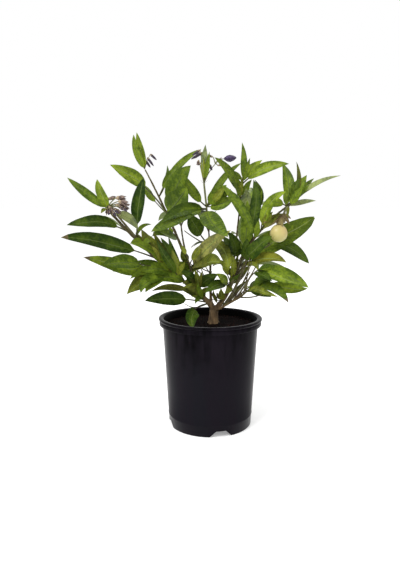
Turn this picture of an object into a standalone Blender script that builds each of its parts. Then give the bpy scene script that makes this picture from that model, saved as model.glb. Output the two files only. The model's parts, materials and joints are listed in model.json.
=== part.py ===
"""Potted pepino melon plant: a young bush of long narrow leaves in a round nursery pot.

Metres, +Z up. The origin is the centre of the pot's underside and the plant's fuller side faces -Y.
Headings are degrees from +X towards +Y, rises are degrees above the level, lengths are millimetres.
"""

import math
from dataclasses import dataclass

import bmesh
import bpy
from mathutils import Vector
from mathutils.bvhtree import BVHTree

MM = 0.001
GAP = 0.35 * MM

# Pot, turned: radii at the outside, heights above the floor
POT_HEIGHT = 148 * MM
RIM_RADIUS = 70 * MM
RIM_SKIRT = 10 * MM
RIM_WALL = 1.6 * MM
RIM_EDGE = 1 * MM
RIM_TAPER = 0.3 * MM
WALL_TOP_RADIUS = 65 * MM
WALL_FOOT_RADIUS = 56.5 * MM
WALL = 1.6 * MM
FLOOR_HEIGHT = 9 * MM
PAD_RADIUS = 18 * MM
PAD_SLOPE = 2 * MM
POT_SIDES = 32

# Drainage notches through the foot of the wall
NOTCHES = 4
NOTCH_FIRST = -75.5
NOTCH_FOOT_WIDTH = 30 * MM
NOTCH_TOP_WIDTH = 13 * MM
NOTCH_HEIGHT = 8 * MM
NOTCH_INWARD = 14 * MM
NOTCH_DEPTH = 20 * MM
NOTCH_BELOW = 2 * MM

# Soil
SOIL_HEIGHT = 138 * MM
SOIL_LEVEL_RADIUS = 18 * MM
SOIL_RING_RADIUS = 44 * MM
SOIL_EDGE_DROP = 1 * MM
SOIL_UNEVEN = 1.1 * MM

# Trunk: cut flat at the soil, flared at its foot, leaning a little to the right
TRUNK_FOOT = Vector((4 * MM, 0, SOIL_HEIGHT + GAP))
TRUNK_HEIGHT = 21 * MM
TRUNK_LEAN = 1 * MM
TRUNK_RADII = (9.6, 7.4, 6.3, 6.1, 6.4)
FLARE_RIDGES = 5
FLARE_RELIEF = 0.16
TRUNK_SIDES = 15

BOUGH_SIDES = 6
BOUGH_RINGS = 7
BOUGH_TAPER = 0.8
BOUGH_KNOBS = 0.05
LOBE_SIDES = 5
LOBE_STATIONS = (0.0, 0.15, 0.33, 0.56, 0.80, 1.0)
STALK_SHARE = 0.15
STALK_RADIUS = 1.3 * MM
TIP_RADIUS = 0.7 * MM
LOBE_THICKNESS = 0.62
LOBE_UNEVEN = 0.13
KNOT_RADIUS = 3.4 * MM


@dataclass(frozen=True)
class Run:
    """A bent line: the chord's heading, rise and length, and how far its middle stands off the chord,
    upwards (arch) and to the left of its heading (sway), as shares of the length."""

    heading: float
    rise: float
    length: float
    arch: float = 0.0
    sway: float = 0.0


@dataclass(frozen=True)
class Bough:
    """One tapering limb, leaving its parent at a share of the parent's length."""

    name: str
    parent: str
    along: float
    run: Run
    foot_width: float
    tip_width: float


@dataclass(frozen=True)
class Lobe:
    """One long swelling of a mass of leaves, and its greatest width."""

    run: Run
    width: float


@dataclass(frozen=True)
class Mass:
    """A mass of leaves: its lobes spread from one knot on a bough."""

    name: str
    parent: str
    along: float
    lobes: tuple


BOUGHS = (
    Bough("left_fork", "trunk", 0.9, Run(200, 51, 37, -0.04), 10.4, 7.6),
    Bough("right_fork", "trunk", 0.9, Run(345, 58, 44, -0.07), 9.0, 6.8),
    Bough("left_high", "left_fork", 1.0, Run(152, 63, 180, 0.01, -0.05), 6.4, 2.6),
    Bough("right_outer", "right_fork", 1.0, Run(339, 53, 133, 0.08, -0.03), 5.8, 2.8),
    Bough("left_low", "left_fork", 0.86, Run(208, 42, 168, -0.04, -0.02), 6.0, 2.8),
    Bough("right_high", "right_fork", 0.86, Run(62, 76, 140, -0.03), 5.0, 2.6),
    Bough("centre", "trunk", 0.92, Run(126, 82, 170, 0.0, -0.03), 5.0, 2.4),
    Bough("right_low", "trunk", 0.8, Run(318, 32, 80, -0.02, 0.02), 4.2, 2.4),
    Bough("back_left", "left_fork", 0.7, Run(115, 54, 128, -0.05, 0.03), 5.2, 2.6),
    Bough("back_right", "right_fork", 0.7, Run(66, 52, 134, -0.05, -0.03), 5.2, 2.6),
)

MASSES = (
    Mass("left_tip", "left_low", 1.0, (
        Lobe(Run(199, 41, 57, -0.01), 12),
        Lobe(Run(117, 48, 51, 0.0, -0.04), 12),
    )),
    Mass("left_arch", "left_low", 0.80, (
        Lobe(Run(223, 6, 76, 0.10), 14),
        Lobe(Run(270, 28, 47, 0.05, 0.20), 11),
    )),
    Mass("left_upright", "left_low", 0.67, (
        Lobe(Run(0, 83, 81, 0.05), 16),
        Lobe(Run(39, 45, 33, 0.20), 6),
    )),
    Mass("left_long", "left_low", 0.46, (Lobe(Run(211, 16, 124, 0.06, -0.01), 17),)),
    Mass("left_gold", "left_low", 0.31, (
        Lobe(Run(207, 13, 116, 0.01, -0.02), 18),
        Lobe(Run(189, 2, 76), 11),
    )),
    Mass("left_droop", "left_low", 0.25, (
        Lobe(Run(226, -12, 76, 0.07, -0.10), 19),
        Lobe(Run(245, -10, 71, 0.04, -0.08), 15),
        Lobe(Run(218, 0, 63, 0.10, -0.08), 10),
    )),
    Mass("left_inner", "left_low", 0.16, (
        Lobe(Run(226, 47, 81, 0.02, -0.05), 18),
        Lobe(Run(216, 34, 92, 0.11, -0.02), 13),
    )),
    Mass("left_skirt", "left_low", 0.09, (Lobe(Run(190, 4, 84, 0.14, -0.01), 18),)),
    Mass("left_foot", "left_fork", 0.70, (
        Lobe(Run(205, 10, 69, 0.12, -0.02), 8),
        Lobe(Run(226, 4, 96, -0.01, -0.04), 15),
    )),
    Mass("high_tip", "left_high", 1.0, (Lobe(Run(226, 70, 50), 14),)),
    Mass("high_left", "left_high", 0.62, (
        Lobe(Run(208, 38, 103, 0.02), 16),
        Lobe(Run(168, 47, 53, -0.02), 10),
    )),
    Mass("high_arch", "left_high", 0.76, (Lobe(Run(25, 50, 88, 0.12, 0.05), 12),)),
    Mass("high_broad", "left_high", 0.62, (
        Lobe(Run(320, 56, 76, 0.04, -0.03), 24),
        Lobe(Run(308, 31, 56, -0.06, 0.06), 18),
    )),
    Mass("high_inner", "left_high", 0.40, (Lobe(Run(228, 21, 53, -0.12, -0.02), 17),)),
    Mass("centre_top", "centre", 1.0, (Lobe(Run(290, 81, 51, 0.0, -0.01), 13),)),
    Mass("centre_fan", "centre", 0.82, (
        Lobe(Run(218, 47, 64, -0.01, -0.03), 11),
        Lobe(Run(27, 51, 80, 0.07, 0.05), 12),
        Lobe(Run(348, 26, 38, 0.15, -0.02), 22),
    )),
    Mass("crown_left", "centre", 0.76, (Lobe(Run(235, -12, 122, 0.06), 19),)),
    Mass("crown_right", "centre", 0.72, (Lobe(Run(284, -12, 104, 0.03, -0.03), 18),)),
    Mass("centre_hang", "centre", 0.50, (Lobe(Run(243, 48, 63, -0.04, -0.14), 17),)),
    Mass("right_top", "right_high", 1.0, (
        Lobe(Run(227, 32, 71, -0.01, 0.04), 12),
        Lobe(Run(237, 85, 60, 0.01), 8),
        Lobe(Run(337, 27, 70, 0.14, -0.06), 14),
        Lobe(Run(13, 54, 46, 0.06), 11),
    )),
    Mass("right_back", "right_high", 0.70, (
        Lobe(Run(59, 52, 61, -0.10, -0.14), 20),
        Lobe(Run(291, 69, 37, 0.02, 0.04), 13),
    )),
    Mass("right_olive", "right_outer", 0.32, (
        Lobe(Run(232, 65, 102, 0.12, 0.10), 12),
        Lobe(Run(267, 73, 52, 0.0, 0.12), 16),
    )),
    Mass("outer_mid", "right_outer", 0.62, (
        Lobe(Run(298, 47, 67, 0.08, -0.10), 14),
        Lobe(Run(319, 34, 38, -0.02, -0.04), 8),
    )),
    Mass("outer_up", "right_outer", 1.0, (
        Lobe(Run(116, 61, 57, 0.05, -0.06), 13),
        Lobe(Run(271, 73, 52, 0.01, 0.07), 7),
        Lobe(Run(37, 55, 42, 0.0, -0.02), 9),
    )),
    Mass("outer_side", "right_outer", 0.94, (
        Lobe(Run(319, 29, 74, 0.08, -0.03), 9),
        Lobe(Run(321, 10, 38), 8),
        Lobe(Run(225, -2, 32, -0.05, -0.02), 8),
    )),
    Mass("right_long", "right_outer", 0.24, (Lobe(Run(11, 30, 116, 0.01), 22),)),
    Mass("right_hang", "right_outer", 0.40, (Lobe(Run(11, -13, 84, 0.17, -0.02), 14),)),
    Mass("right_gold", "right_outer", 0.17, (Lobe(Run(316, 8, 80, 0.12, 0.05), 16),)),
    Mass("low_bright", "right_low", 1.0, (
        Lobe(Run(316, 6, 79, 0.20), 18),
        Lobe(Run(338, 2, 66, -0.01, 0.03), 10),
    )),
    Mass("low_droop", "right_low", 0.80, (
        Lobe(Run(296, 1, 88, 0.14, 0.03), 13),
        Lobe(Run(337, -5, 34, 0.03, -0.01), 8),
    )),
    Mass("front_tan", "left_high", 0.16, (
        Lobe(Run(309, 37, 99, 0.03), 15),
        Lobe(Run(300, 15, 85, 0.07), 16),
    )),
    Mass("front_blue", "right_high", 0.30, (Lobe(Run(250, 46, 46, -0.01, -0.02), 16),)),
    Mass("front_hang", "centre", 0.42, (Lobe(Run(286, -10, 72, 0.10, 0.07), 10),)),
    Mass("fork_left", "left_fork", 0.95, (Lobe(Run(318, 34, 45, 0.06, -0.03), 12),)),
    Mass("fork_right", "right_fork", 0.90, (
        Lobe(Run(233, 0, 54, 0.07, -0.02), 11),
        Lobe(Run(255, -4, 34, 0.05, 0.03), 8),
    )),
    Mass("pot_leaf", "left_fork", 0.34, (Lobe(Run(249, -25, 52, 0.14, -0.08), 15),)),
    Mass("back_left_top", "back_left", 1.0, (
        Lobe(Run(100, 28, 75, 0.10), 18),
        Lobe(Run(140, 12, 66, 0.12), 17),
        Lobe(Run(52, 36, 56, 0.05), 16),
    )),
    Mass("back_left_mid", "back_left", 0.60, (
        Lobe(Run(135, 2, 80, 0.14), 19),
        Lobe(Run(188, 0, 60, 0.12), 15),
    )),
    Mass("back_right_top", "back_right", 1.0, (
        Lobe(Run(85, 30, 75, 0.10), 18),
        Lobe(Run(30, 10, 65, 0.12), 17),
        Lobe(Run(135, 34, 58, 0.05), 15),
    )),
    Mass("back_right_mid", "back_right", 0.60, (
        Lobe(Run(44, 2, 84, 0.14), 19),
        Lobe(Run(105, 10, 66, 0.12), 16),
    )),
    Mass("back_low_left", "back_left", 0.26, (
        Lobe(Run(102, -6, 84, 0.15), 18),
        Lobe(Run(160, -6, 72, 0.12), 17),
    )),
    Mass("back_low_right", "back_right", 0.28, (
        Lobe(Run(64, -6, 84, 0.15), 18),
        Lobe(Run(22, -4, 86, 0.12), 17),
    )),
    Mass("back_high", "centre", 0.62, (
        Lobe(Run(84, 18, 76, 0.12), 17),
        Lobe(Run(128, 32, 66, 0.10), 15),
    )),
)


def direction(heading, rise):
    """The unit vector of a heading and a rise in degrees."""
    across, up = math.radians(heading), math.radians(rise)
    return Vector((math.cos(up) * math.cos(across), math.cos(up) * math.sin(across), math.sin(up)))


def point_on(foot, run, share):
    """The point of a run that starts at foot, a share of the way along."""
    bulge = 4 * share * (1 - share)
    chord = direction(run.heading, run.rise) * share
    upward = direction(run.heading, run.rise + 90) * run.arch * bulge
    sideways = direction(run.heading + 90, 0) * run.sway * bulge
    return foot + (chord + upward + sideways) * run.length * MM


def lofted(centres, radii_at, first_side, sides, level=False):
    """A closed tube of rings round the centres, square to them or all level.
    radii_at gives a ring's radii across and upwards at an angle."""
    solid = bmesh.new()
    rings = []
    last = len(centres) - 1
    for index, centre in enumerate(centres):
        tangent = (centres[min(index + 1, last)] - centres[max(index - 1, 0)]).normalized()
        if level:
            tangent = Vector((0, 0, 1))
        side = (first_side - tangent * first_side.dot(tangent)).normalized()
        up = tangent.cross(side)
        ring = []
        for step in range(sides):
            angle = math.tau * step / sides
            across, high = radii_at(index, angle)
            ring.append(solid.verts.new(centre + side * across * math.cos(angle) + up * high * math.sin(angle)))
        rings.append(ring)
    for low, high in zip(rings, rings[1:]):
        for step in range(sides):
            after = (step + 1) % sides
            solid.faces.new((low[step], low[after], high[after], high[step]))
    solid.faces.new(tuple(reversed(rings[0])))
    solid.faces.new(tuple(rings[-1]))
    bmesh.ops.recalc_face_normals(solid, faces=solid.faces)
    return mesh_from(solid)


def mesh_from(solid):
    """A new mesh of a bmesh, which is freed."""
    mesh = bpy.data.meshes.new("solid")
    solid.to_mesh(mesh)
    solid.free()
    return mesh


def turned(profile, sides, height_shift=None):
    """A closed solid turned round Z from (radius, height) points that start and end on the axis."""
    solid = bmesh.new()
    points = [solid.verts.new((radius, 0, height)) for radius, height in profile]
    edges = [solid.edges.new(pair) for pair in zip(points, points[1:])]
    bmesh.ops.spin(
        solid, geom=points + edges, cent=(0, 0, 0), axis=(0, 0, 1),
        dvec=(0, 0, 0), angle=math.tau, steps=sides, use_merge=True,
    )
    bmesh.ops.remove_doubles(solid, verts=solid.verts, dist=0.01 * MM)
    if height_shift:
        for vertex in solid.verts:
            vertex.co.z += height_shift(vertex.co)
    bmesh.ops.recalc_face_normals(solid, faces=solid.faces)
    return mesh_from(solid)


def combined(mesh, other, operation):
    """The mesh after a Boolean with the other mesh."""
    target = bpy.data.objects.new("target", mesh)
    cutter = bpy.data.objects.new("cutter", other)
    for helper in (target, cutter):
        bpy.context.scene.collection.objects.link(helper)
    modifier = target.modifiers.new("combine", "BOOLEAN")
    modifier.operation = operation
    modifier.object = cutter
    graph = bpy.context.evaluated_depsgraph_get()
    result = bpy.data.meshes.new_from_object(target.evaluated_get(graph))
    for helper in (target, cutter):
        bpy.data.objects.remove(helper)
    return result


def largest_piece(mesh):
    """The mesh with only its largest connected piece."""
    solid = bmesh.new()
    solid.from_mesh(mesh)
    unseen = set(solid.verts)
    pieces = []
    while unseen:
        stack = [unseen.pop()]
        piece = set(stack)
        while stack:
            for edge in stack.pop().link_edges:
                for vertex in edge.verts:
                    if vertex in unseen:
                        unseen.remove(vertex)
                        piece.add(vertex)
                        stack.append(vertex)
        pieces.append(piece)
    kept = max(pieces, key=lambda piece: spread(piece))
    bmesh.ops.delete(solid, geom=[v for v in solid.verts if v not in kept], context="VERTS")
    return mesh_from(solid)


def spread(piece):
    """The diagonal of the box round a set of vertices."""
    low = Vector([min(vertex.co[axis] for vertex in piece) for axis in range(3)])
    high = Vector([max(vertex.co[axis] for vertex in piece) for axis in range(3)])
    return (high - low).length


def tree_of(mesh):
    """A search tree of a mesh's faces."""
    return BVHTree.FromPolygons([v.co for v in mesh.vertices], [p.vertices for p in mesh.polygons])


def cut_clear(mesh, guards):
    """The mesh with every guard that it meets cut from it, as its largest piece."""
    for guard in guards:
        if tree_of(mesh).overlap(tree_of(guard)):
            mesh = largest_piece(combined(mesh, guard, "DIFFERENCE"))
    return mesh


def bough_mesh(foot, bough, grow=0.0):
    """The bough as a tapering tube, made larger all round by grow."""
    shares = [index / (BOUGH_RINGS - 1) for index in range(BOUGH_RINGS)]
    centres = [point_on(foot, bough.run, share) for share in shares]
    if grow:
        along = (centres[-1] - centres[-2]).normalized()
        centres[-1] = centres[-1] + along * grow

    def radii_at(index, angle):
        width = bough.foot_width + (bough.tip_width - bough.foot_width) * shares[index] ** BOUGH_TAPER
        radius = width / 2 * MM * (1 + BOUGH_KNOBS * math.sin(5.1 * index + bough.run.heading)) + grow
        return radius, radius

    return lofted(centres, radii_at, direction(bough.run.heading + 90, 0), BOUGH_SIDES)


def lobe_mesh(foot, lobe, grow=0.0):
    """The lobe as a swelling that runs from a thin stalk to a pointed tip, made larger by grow."""
    centres = [point_on(foot, lobe.run, share) for share in LOBE_STATIONS]
    if grow:
        along = (centres[-1] - centres[-2]).normalized()
        centres[-1] = centres[-1] + along * grow
    phase = math.radians(lobe.run.heading) * 3 + lobe.run.length

    def radii_at(index, angle):
        share = (LOBE_STATIONS[index] - STALK_SHARE) / (1 - STALK_SHARE)
        swell = math.sin(math.pi * max(0.0, share) ** 0.85) if share < 1 else 0.0
        half = lobe.width / 2 * MM * max(0.0, swell) ** 0.75
        uneven = 1 + LOBE_UNEVEN * math.sin(2.3 * index + phase) * math.cos(angle * 2 + phase)
        least = STALK_RADIUS if share < 0.5 else TIP_RADIUS
        across = max(half * uneven, least) + grow
        high = max(half * uneven * LOBE_THICKNESS, least) + grow
        return across, high

    return lofted(centres, radii_at, direction(lobe.run.heading + 90, 0), LOBE_SIDES)


def knot_mesh(centre, grow=0.0):
    """The small round knot that a mass's lobes spread from."""
    solid = bmesh.new()
    bmesh.ops.create_icosphere(solid, subdivisions=1, radius=KNOT_RADIUS + grow)
    bmesh.ops.translate(solid, verts=solid.verts, vec=centre)
    return mesh_from(solid)


def material(name, color, roughness):
    """A Principled BSDF of one colour."""
    finish = bpy.data.materials.new(name)
    finish.use_nodes = True
    shader = finish.node_tree.nodes["Principled BSDF"]
    shader.inputs["Base Color"].default_value = (*color, 1)
    shader.inputs["Roughness"].default_value = roughness
    shader.inputs["Metallic"].default_value = 0
    finish.diffuse_color = (*color, 1)
    return finish


def placed(name, mesh, foot, finish, holder):
    """An object of the mesh, with its origin at foot, carried by the holder."""
    for vertex in mesh.vertices:
        vertex.co = vertex.co - foot
    mesh.name = name
    mesh.materials.clear()
    mesh.materials.append(finish)
    mesh.shade_smooth()
    mesh.set_sharp_from_angle(angle=math.radians(40))
    piece = bpy.data.objects.new(name, mesh)
    piece.location = foot
    piece.parent = holder
    bpy.context.scene.collection.objects.link(piece)
    return piece


def pot_profile():
    """The pot's section from the middle of its underside, round the rim and back to the axis inside."""
    def wall_radius(height):
        return WALL_FOOT_RADIUS + (WALL_TOP_RADIUS - WALL_FOOT_RADIUS) * height / POT_HEIGHT

    under_rim = POT_HEIGHT - RIM_WALL
    skirt_foot = POT_HEIGHT - RIM_SKIRT
    floor_top = FLOOR_HEIGHT + WALL
    return (
        (0, 0),
        (PAD_RADIUS, 0),
        (PAD_RADIUS + PAD_SLOPE, FLOOR_HEIGHT),
        (wall_radius(FLOOR_HEIGHT) - WALL, FLOOR_HEIGHT),
        (wall_radius(0) - WALL, 0),
        (wall_radius(0), 0),
        (wall_radius(under_rim), under_rim),
        (RIM_RADIUS - RIM_WALL, under_rim),
        (RIM_RADIUS - RIM_WALL - RIM_TAPER, skirt_foot),
        (RIM_RADIUS - RIM_TAPER, skirt_foot),
        (RIM_RADIUS, POT_HEIGHT - RIM_EDGE),
        (RIM_RADIUS - RIM_EDGE, POT_HEIGHT),
        (wall_radius(POT_HEIGHT), POT_HEIGHT),
        (wall_radius(under_rim) - WALL, under_rim),
        (wall_radius(floor_top) - WALL, floor_top),
        (PAD_RADIUS + PAD_SLOPE, floor_top),
        (PAD_RADIUS, WALL),
        (0, WALL),
    )


def soil_profile():
    """The soil's section, clear of the pot by the gap all round."""
    def inner_radius(height):
        share = height / POT_HEIGHT
        return WALL_FOOT_RADIUS + (WALL_TOP_RADIUS - WALL_FOOT_RADIUS) * share - WALL - 1.5 * GAP

    floor = FLOOR_HEIGHT + WALL + GAP
    return (
        (0, WALL + GAP),
        (PAD_RADIUS - 2 * GAP, WALL + GAP),
        (PAD_RADIUS + PAD_SLOPE - 2 * GAP, floor),
        (inner_radius(floor), floor),
        (inner_radius(SOIL_HEIGHT), SOIL_HEIGHT - SOIL_EDGE_DROP),
        (SOIL_RING_RADIUS, SOIL_HEIGHT),
        (SOIL_LEVEL_RADIUS, SOIL_HEIGHT),
        (0, SOIL_HEIGHT),
    )


def soil_shift(point):
    """How far a point of the soil's top stands above or below its level."""
    radius = math.hypot(point.x, point.y)
    if point.z < SOIL_HEIGHT - 2 * SOIL_EDGE_DROP or radius < SOIL_LEVEL_RADIUS + MM:
        return 0.0
    around = math.atan2(point.y, point.x)
    return SOIL_UNEVEN * (math.sin(5 * around + radius * 200) + 0.5 * math.cos(9 * around) - 0.4)


def notch_mesh():
    """A bar with a trapezoidal section along X, wider at the floor than at its top."""
    solid = bmesh.new()
    low, high = -NOTCH_BELOW, NOTCH_HEIGHT
    slope = (NOTCH_FOOT_WIDTH - NOTCH_TOP_WIDTH) / 2 / NOTCH_HEIGHT
    section = (
        (-NOTCH_FOOT_WIDTH / 2 + slope * low, low),
        (NOTCH_FOOT_WIDTH / 2 - slope * low, low),
        (NOTCH_TOP_WIDTH / 2, high),
        (-NOTCH_TOP_WIDTH / 2, high),
    )
    near = solid.faces.new([solid.verts.new((WALL_FOOT_RADIUS - NOTCH_INWARD, y, z)) for y, z in section])
    far = bmesh.ops.extrude_face_region(solid, geom=[near])["geom"]
    moved = [item for item in far if isinstance(item, bmesh.types.BMVert)]
    bmesh.ops.translate(solid, verts=moved, vec=(NOTCH_DEPTH, 0, 0))
    bmesh.ops.recalc_face_normals(solid, faces=solid.faces)
    return mesh_from(solid)


def build_pot(holder):
    """The pot with its drainage notches."""
    plastic = material("pot_plastic", (0.028, 0.027, 0.032), 0.42)
    pot = placed("pot", turned(pot_profile(), POT_SIDES), Vector(), plastic, holder)
    for index in range(NOTCHES):
        cutter = bpy.data.objects.new(f"notch_cutter_{index}", notch_mesh())
        cutter.rotation_euler.z = math.radians(NOTCH_FIRST + index * 360 / NOTCHES)
        cutter.hide_render = True
        cutter.display_type = "WIRE"
        cutter.parent = holder
        bpy.context.scene.collection.objects.link(cutter)
        notch = pot.modifiers.new(f"notch_{index}", "BOOLEAN")
        notch.operation = "DIFFERENCE"
        notch.object = cutter


def build_soil(holder):
    """The soil that fills the pot to just below its rim."""
    peat = material("soil_peat", (0.022, 0.015, 0.012), 0.95)
    placed("soil", turned(soil_profile(), POT_SIDES, soil_shift), Vector(), peat, holder)


def trunk_mesh(grow=0.0):
    """The trunk from its flat cut at the soil, with the ridges of its root flare, to the fork."""
    last = len(TRUNK_RADII) - 1
    lean = Vector((TRUNK_LEAN, 0, TRUNK_HEIGHT))
    centres = [TRUNK_FOOT + lean * (index / last) for index in range(last + 1)]
    if grow:
        centres[-1] = centres[-1] + Vector((0, 0, grow))

    def radii_at(index, angle):
        ridge = FLARE_RELIEF * (1 - index / last) ** 2 * math.cos(FLARE_RIDGES * angle)
        radius = TRUNK_RADII[index] * MM * (1 + ridge) + grow
        return radius, radius

    return lofted(centres, radii_at, Vector((1, 0, 0)), TRUNK_SIDES, level=True)


def build_wood(holder, guards):
    """The trunk and the boughs. Returns where each parent's runs start."""
    bark = material("bark", (0.30, 0.20, 0.12), 0.8)
    trunk_run = Run(0, math.degrees(math.atan2(TRUNK_HEIGHT, TRUNK_LEAN)), TRUNK_HEIGHT / MM)
    feet = {"trunk": (TRUNK_FOOT, trunk_run)}
    placed("trunk", trunk_mesh(), TRUNK_FOOT, bark, holder)
    guards.append(trunk_mesh(GAP))
    for bough in BOUGHS:
        foot = point_on(*feet[bough.parent], bough.along)
        feet[bough.name] = (foot, bough.run)
        mesh = cut_clear(bough_mesh(foot, bough), guards)
        placed(f"bough_{bough.name}", mesh, foot, bark, holder)
        guards.append(bough_mesh(foot, bough, GAP))
    return feet


def build_foliage(holder, guards, feet):
    """The masses of leaves, each clear of the wood and of the masses before it."""
    tints = (
        material("foliage_deep", (0.05, 0.11, 0.03), 0.55),
        material("foliage_mid", (0.10, 0.19, 0.04), 0.55),
        material("foliage_olive", (0.20, 0.24, 0.07), 0.55),
    )
    for number, mass in enumerate(MASSES):
        foot = point_on(*feet[mass.parent], mass.along)
        heart = sum((direction(lobe.run.heading, lobe.run.rise) for lobe in mass.lobes), Vector())
        knot = foot + heart.normalized() * KNOT_RADIUS
        own_guards = [lobe_mesh(foot, lobe, GAP) for lobe in mass.lobes]
        mesh = lobe_mesh(foot, mass.lobes[0])
        if len(mass.lobes) > 1:
            mesh = combined(mesh, knot_mesh(knot), "UNION")
            own_guards.append(knot_mesh(knot, GAP))
        for lobe in mass.lobes[1:]:
            mesh = combined(mesh, lobe_mesh(foot, lobe), "UNION")
        mesh = cut_clear(largest_piece(mesh), guards)
        placed(f"foliage_{mass.name}", mesh, foot, tints[number % len(tints)], holder)
        guards.extend(own_guards)


def main():
    """Builds the plant and its pot in an empty scene."""
    for old in list(bpy.data.objects):
        bpy.data.objects.remove(old)
    holder = bpy.data.objects.new("potted_plant", None)
    bpy.context.scene.collection.objects.link(holder)
    build_pot(holder)
    build_soil(holder)
    guards = []
    feet = build_wood(holder, guards)
    build_foliage(holder, guards, feet)


main()
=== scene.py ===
"""The looks of a potted pepino melon plant: pot, peat, bark, leaves, buds, flower and fruit.

The pieces are in metres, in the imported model's frame. Headings are degrees from +X towards +Y, rises are
degrees above the level, and the lengths, widths and radii of the plant's parts are in millimetres.
"""

import json
import logging
import math
import random
from dataclasses import dataclass, field, replace
from enum import Enum
from typing import Any, Callable, Iterable, Optional, Sequence

import bmesh
import bpy
from mathutils import Matrix, Vector, noise

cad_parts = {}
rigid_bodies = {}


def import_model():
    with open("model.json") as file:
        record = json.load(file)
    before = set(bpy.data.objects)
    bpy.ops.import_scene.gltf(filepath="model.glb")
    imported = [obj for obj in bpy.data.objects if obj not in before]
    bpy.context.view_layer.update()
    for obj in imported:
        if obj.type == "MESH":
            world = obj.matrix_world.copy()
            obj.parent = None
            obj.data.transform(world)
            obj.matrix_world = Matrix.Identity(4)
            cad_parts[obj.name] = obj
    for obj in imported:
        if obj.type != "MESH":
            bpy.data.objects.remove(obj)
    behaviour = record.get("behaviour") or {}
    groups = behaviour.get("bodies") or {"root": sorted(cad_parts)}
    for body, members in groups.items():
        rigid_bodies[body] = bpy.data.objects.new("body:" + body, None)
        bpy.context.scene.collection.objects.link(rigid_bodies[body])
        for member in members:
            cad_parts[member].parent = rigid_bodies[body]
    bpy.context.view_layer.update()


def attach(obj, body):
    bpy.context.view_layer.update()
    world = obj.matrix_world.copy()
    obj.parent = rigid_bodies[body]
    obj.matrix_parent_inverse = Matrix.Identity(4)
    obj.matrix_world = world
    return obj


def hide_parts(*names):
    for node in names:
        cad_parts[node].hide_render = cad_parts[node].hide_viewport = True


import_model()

logging.basicConfig(level=logging.INFO, format="%(message)s")
LOG = logging.getLogger("plant")

MM = 0.001
BODY = "root"
UP = Vector((0, 0, 1))
GOLDEN_ANGLE = 137.5

Colour = tuple[float, float, float]


class Tint(Enum):
    """The leaf colours that are dealt out by spray, as plain linear base colours."""

    DARK = (0.017, 0.043, 0.004)
    DEEP = (0.031, 0.066, 0.006)
    MID = (0.077, 0.132, 0.011)
    LIME = (0.112, 0.176, 0.014)
    OLIVE = (0.112, 0.138, 0.017)
    PALE = (0.156, 0.194, 0.092)
    BRONZE = (0.078, 0.088, 0.015)
    GOLD = (0.102, 0.112, 0.012)
    TAN = (0.186, 0.192, 0.062)


class Layer(Enum):
    """The two faces of a blade, as the sign of its thickness and whether the sheet is turned over."""

    UPPER = (1, False)
    UNDER = (-1, True)


@dataclass(frozen=True)
class Run:
    """A bent line: its chord and how far its middle stands off it, as shares of the length."""

    heading: float
    rise: float
    length: float
    arch: float = 0.0
    sway: float = 0.0

    def point(self, foot: Vector, share: float) -> Vector:
        """Gives the point a share of the way along the run.

        Args:
            foot: Where the run starts.
            share: From 0 at the foot to 1 at the tip.

        Returns:
            The point in metres.
        """
        bulge = 4 * share * (1 - share)
        chord = direction(self.heading, self.rise) * share
        upward = direction(self.heading, self.rise + 90) * self.arch * bulge
        sideways = direction(self.heading + 90, 0) * self.sway * bulge
        return foot + (chord + upward + sideways) * self.length * MM

    def tangent(self, foot: Vector, share: float) -> Vector:
        """The unit direction of travel at a share of the run."""
        low, high = max(0.0, share - 0.02), min(1.0, share + 0.02)
        return (self.point(foot, high) - self.point(foot, low)).normalized()


@dataclass(frozen=True)
class Limb:
    """One tapering bough or twig, leaving its parent at a share of the parent's length."""

    name: str
    parent: str
    along: float
    run: Run
    foot_width: float
    tip_width: float
    swerve: float = 0.0
    swerve_at: float = 0.4


@dataclass(frozen=True)
class Leaf:
    """One long narrow leaf on its own stalk, from its spray's place or from another one."""

    run: Run
    width: float
    tint: Tint
    stalk: float = 0.16
    facing: float = 0.75
    fullness: float = 1.85
    brown_tip: bool = False
    at: Optional[tuple[str, float]] = None


@dataclass(frozen=True)
class Spray:
    """The leaves that take the place of one mass, spreading from one point of a bough."""

    name: str
    parent: str
    along: float
    leaves: tuple[Leaf, ...]
    young: int = 1
    behind: int = 1

    @property
    def node(self) -> str:
        """The mass of the frame that the spray stands for."""
        return f"foliage_{self.name}"


TRUNK_FOOT = Vector((4, 0, 138.35)) * MM
TRUNK_RUN = Run(0, 87.27, 21.02)

LIMBS = (
    Limb("left_fork", "trunk", 0.9, Run(200, 51, 37, -0.04), 9.6, 6.4, 3.2, 0.35),
    Limb("right_fork", "trunk", 0.9, Run(345, 58, 44, -0.07), 7.6, 5.6),
    Limb("left_high", "left_fork", 1.0, Run(153, 63, 180, 0.01, -0.02), 5.4, 2.2),
    Limb("right_outer", "right_fork", 1.0, Run(339, 53, 133, 0.08, -0.03), 4.8, 2.6),
    Limb("left_low", "left_fork", 0.86, Run(208, 42, 168, -0.025, -0.02), 5.2, 3.4),
    Limb("right_high", "right_fork", 0.86, Run(62, 76, 140, -0.03), 4.2, 2.0),
    Limb("centre", "trunk", 0.92, Run(126, 82, 170, 0.0, -0.01), 5.0, 1.2, -3.6, 0.08),
    Limb("right_low", "trunk", 0.8, Run(318, 32, 80, -0.02, 0.02), 3.8, 2.2),
    Limb("back_left", "left_fork", 0.7, Run(115, 54, 128, -0.05, 0.03), 4.4, 2.2),
    Limb("back_right", "right_fork", 0.7, Run(66, 52, 134, -0.05, -0.03), 4.4, 2.2),
)

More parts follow.
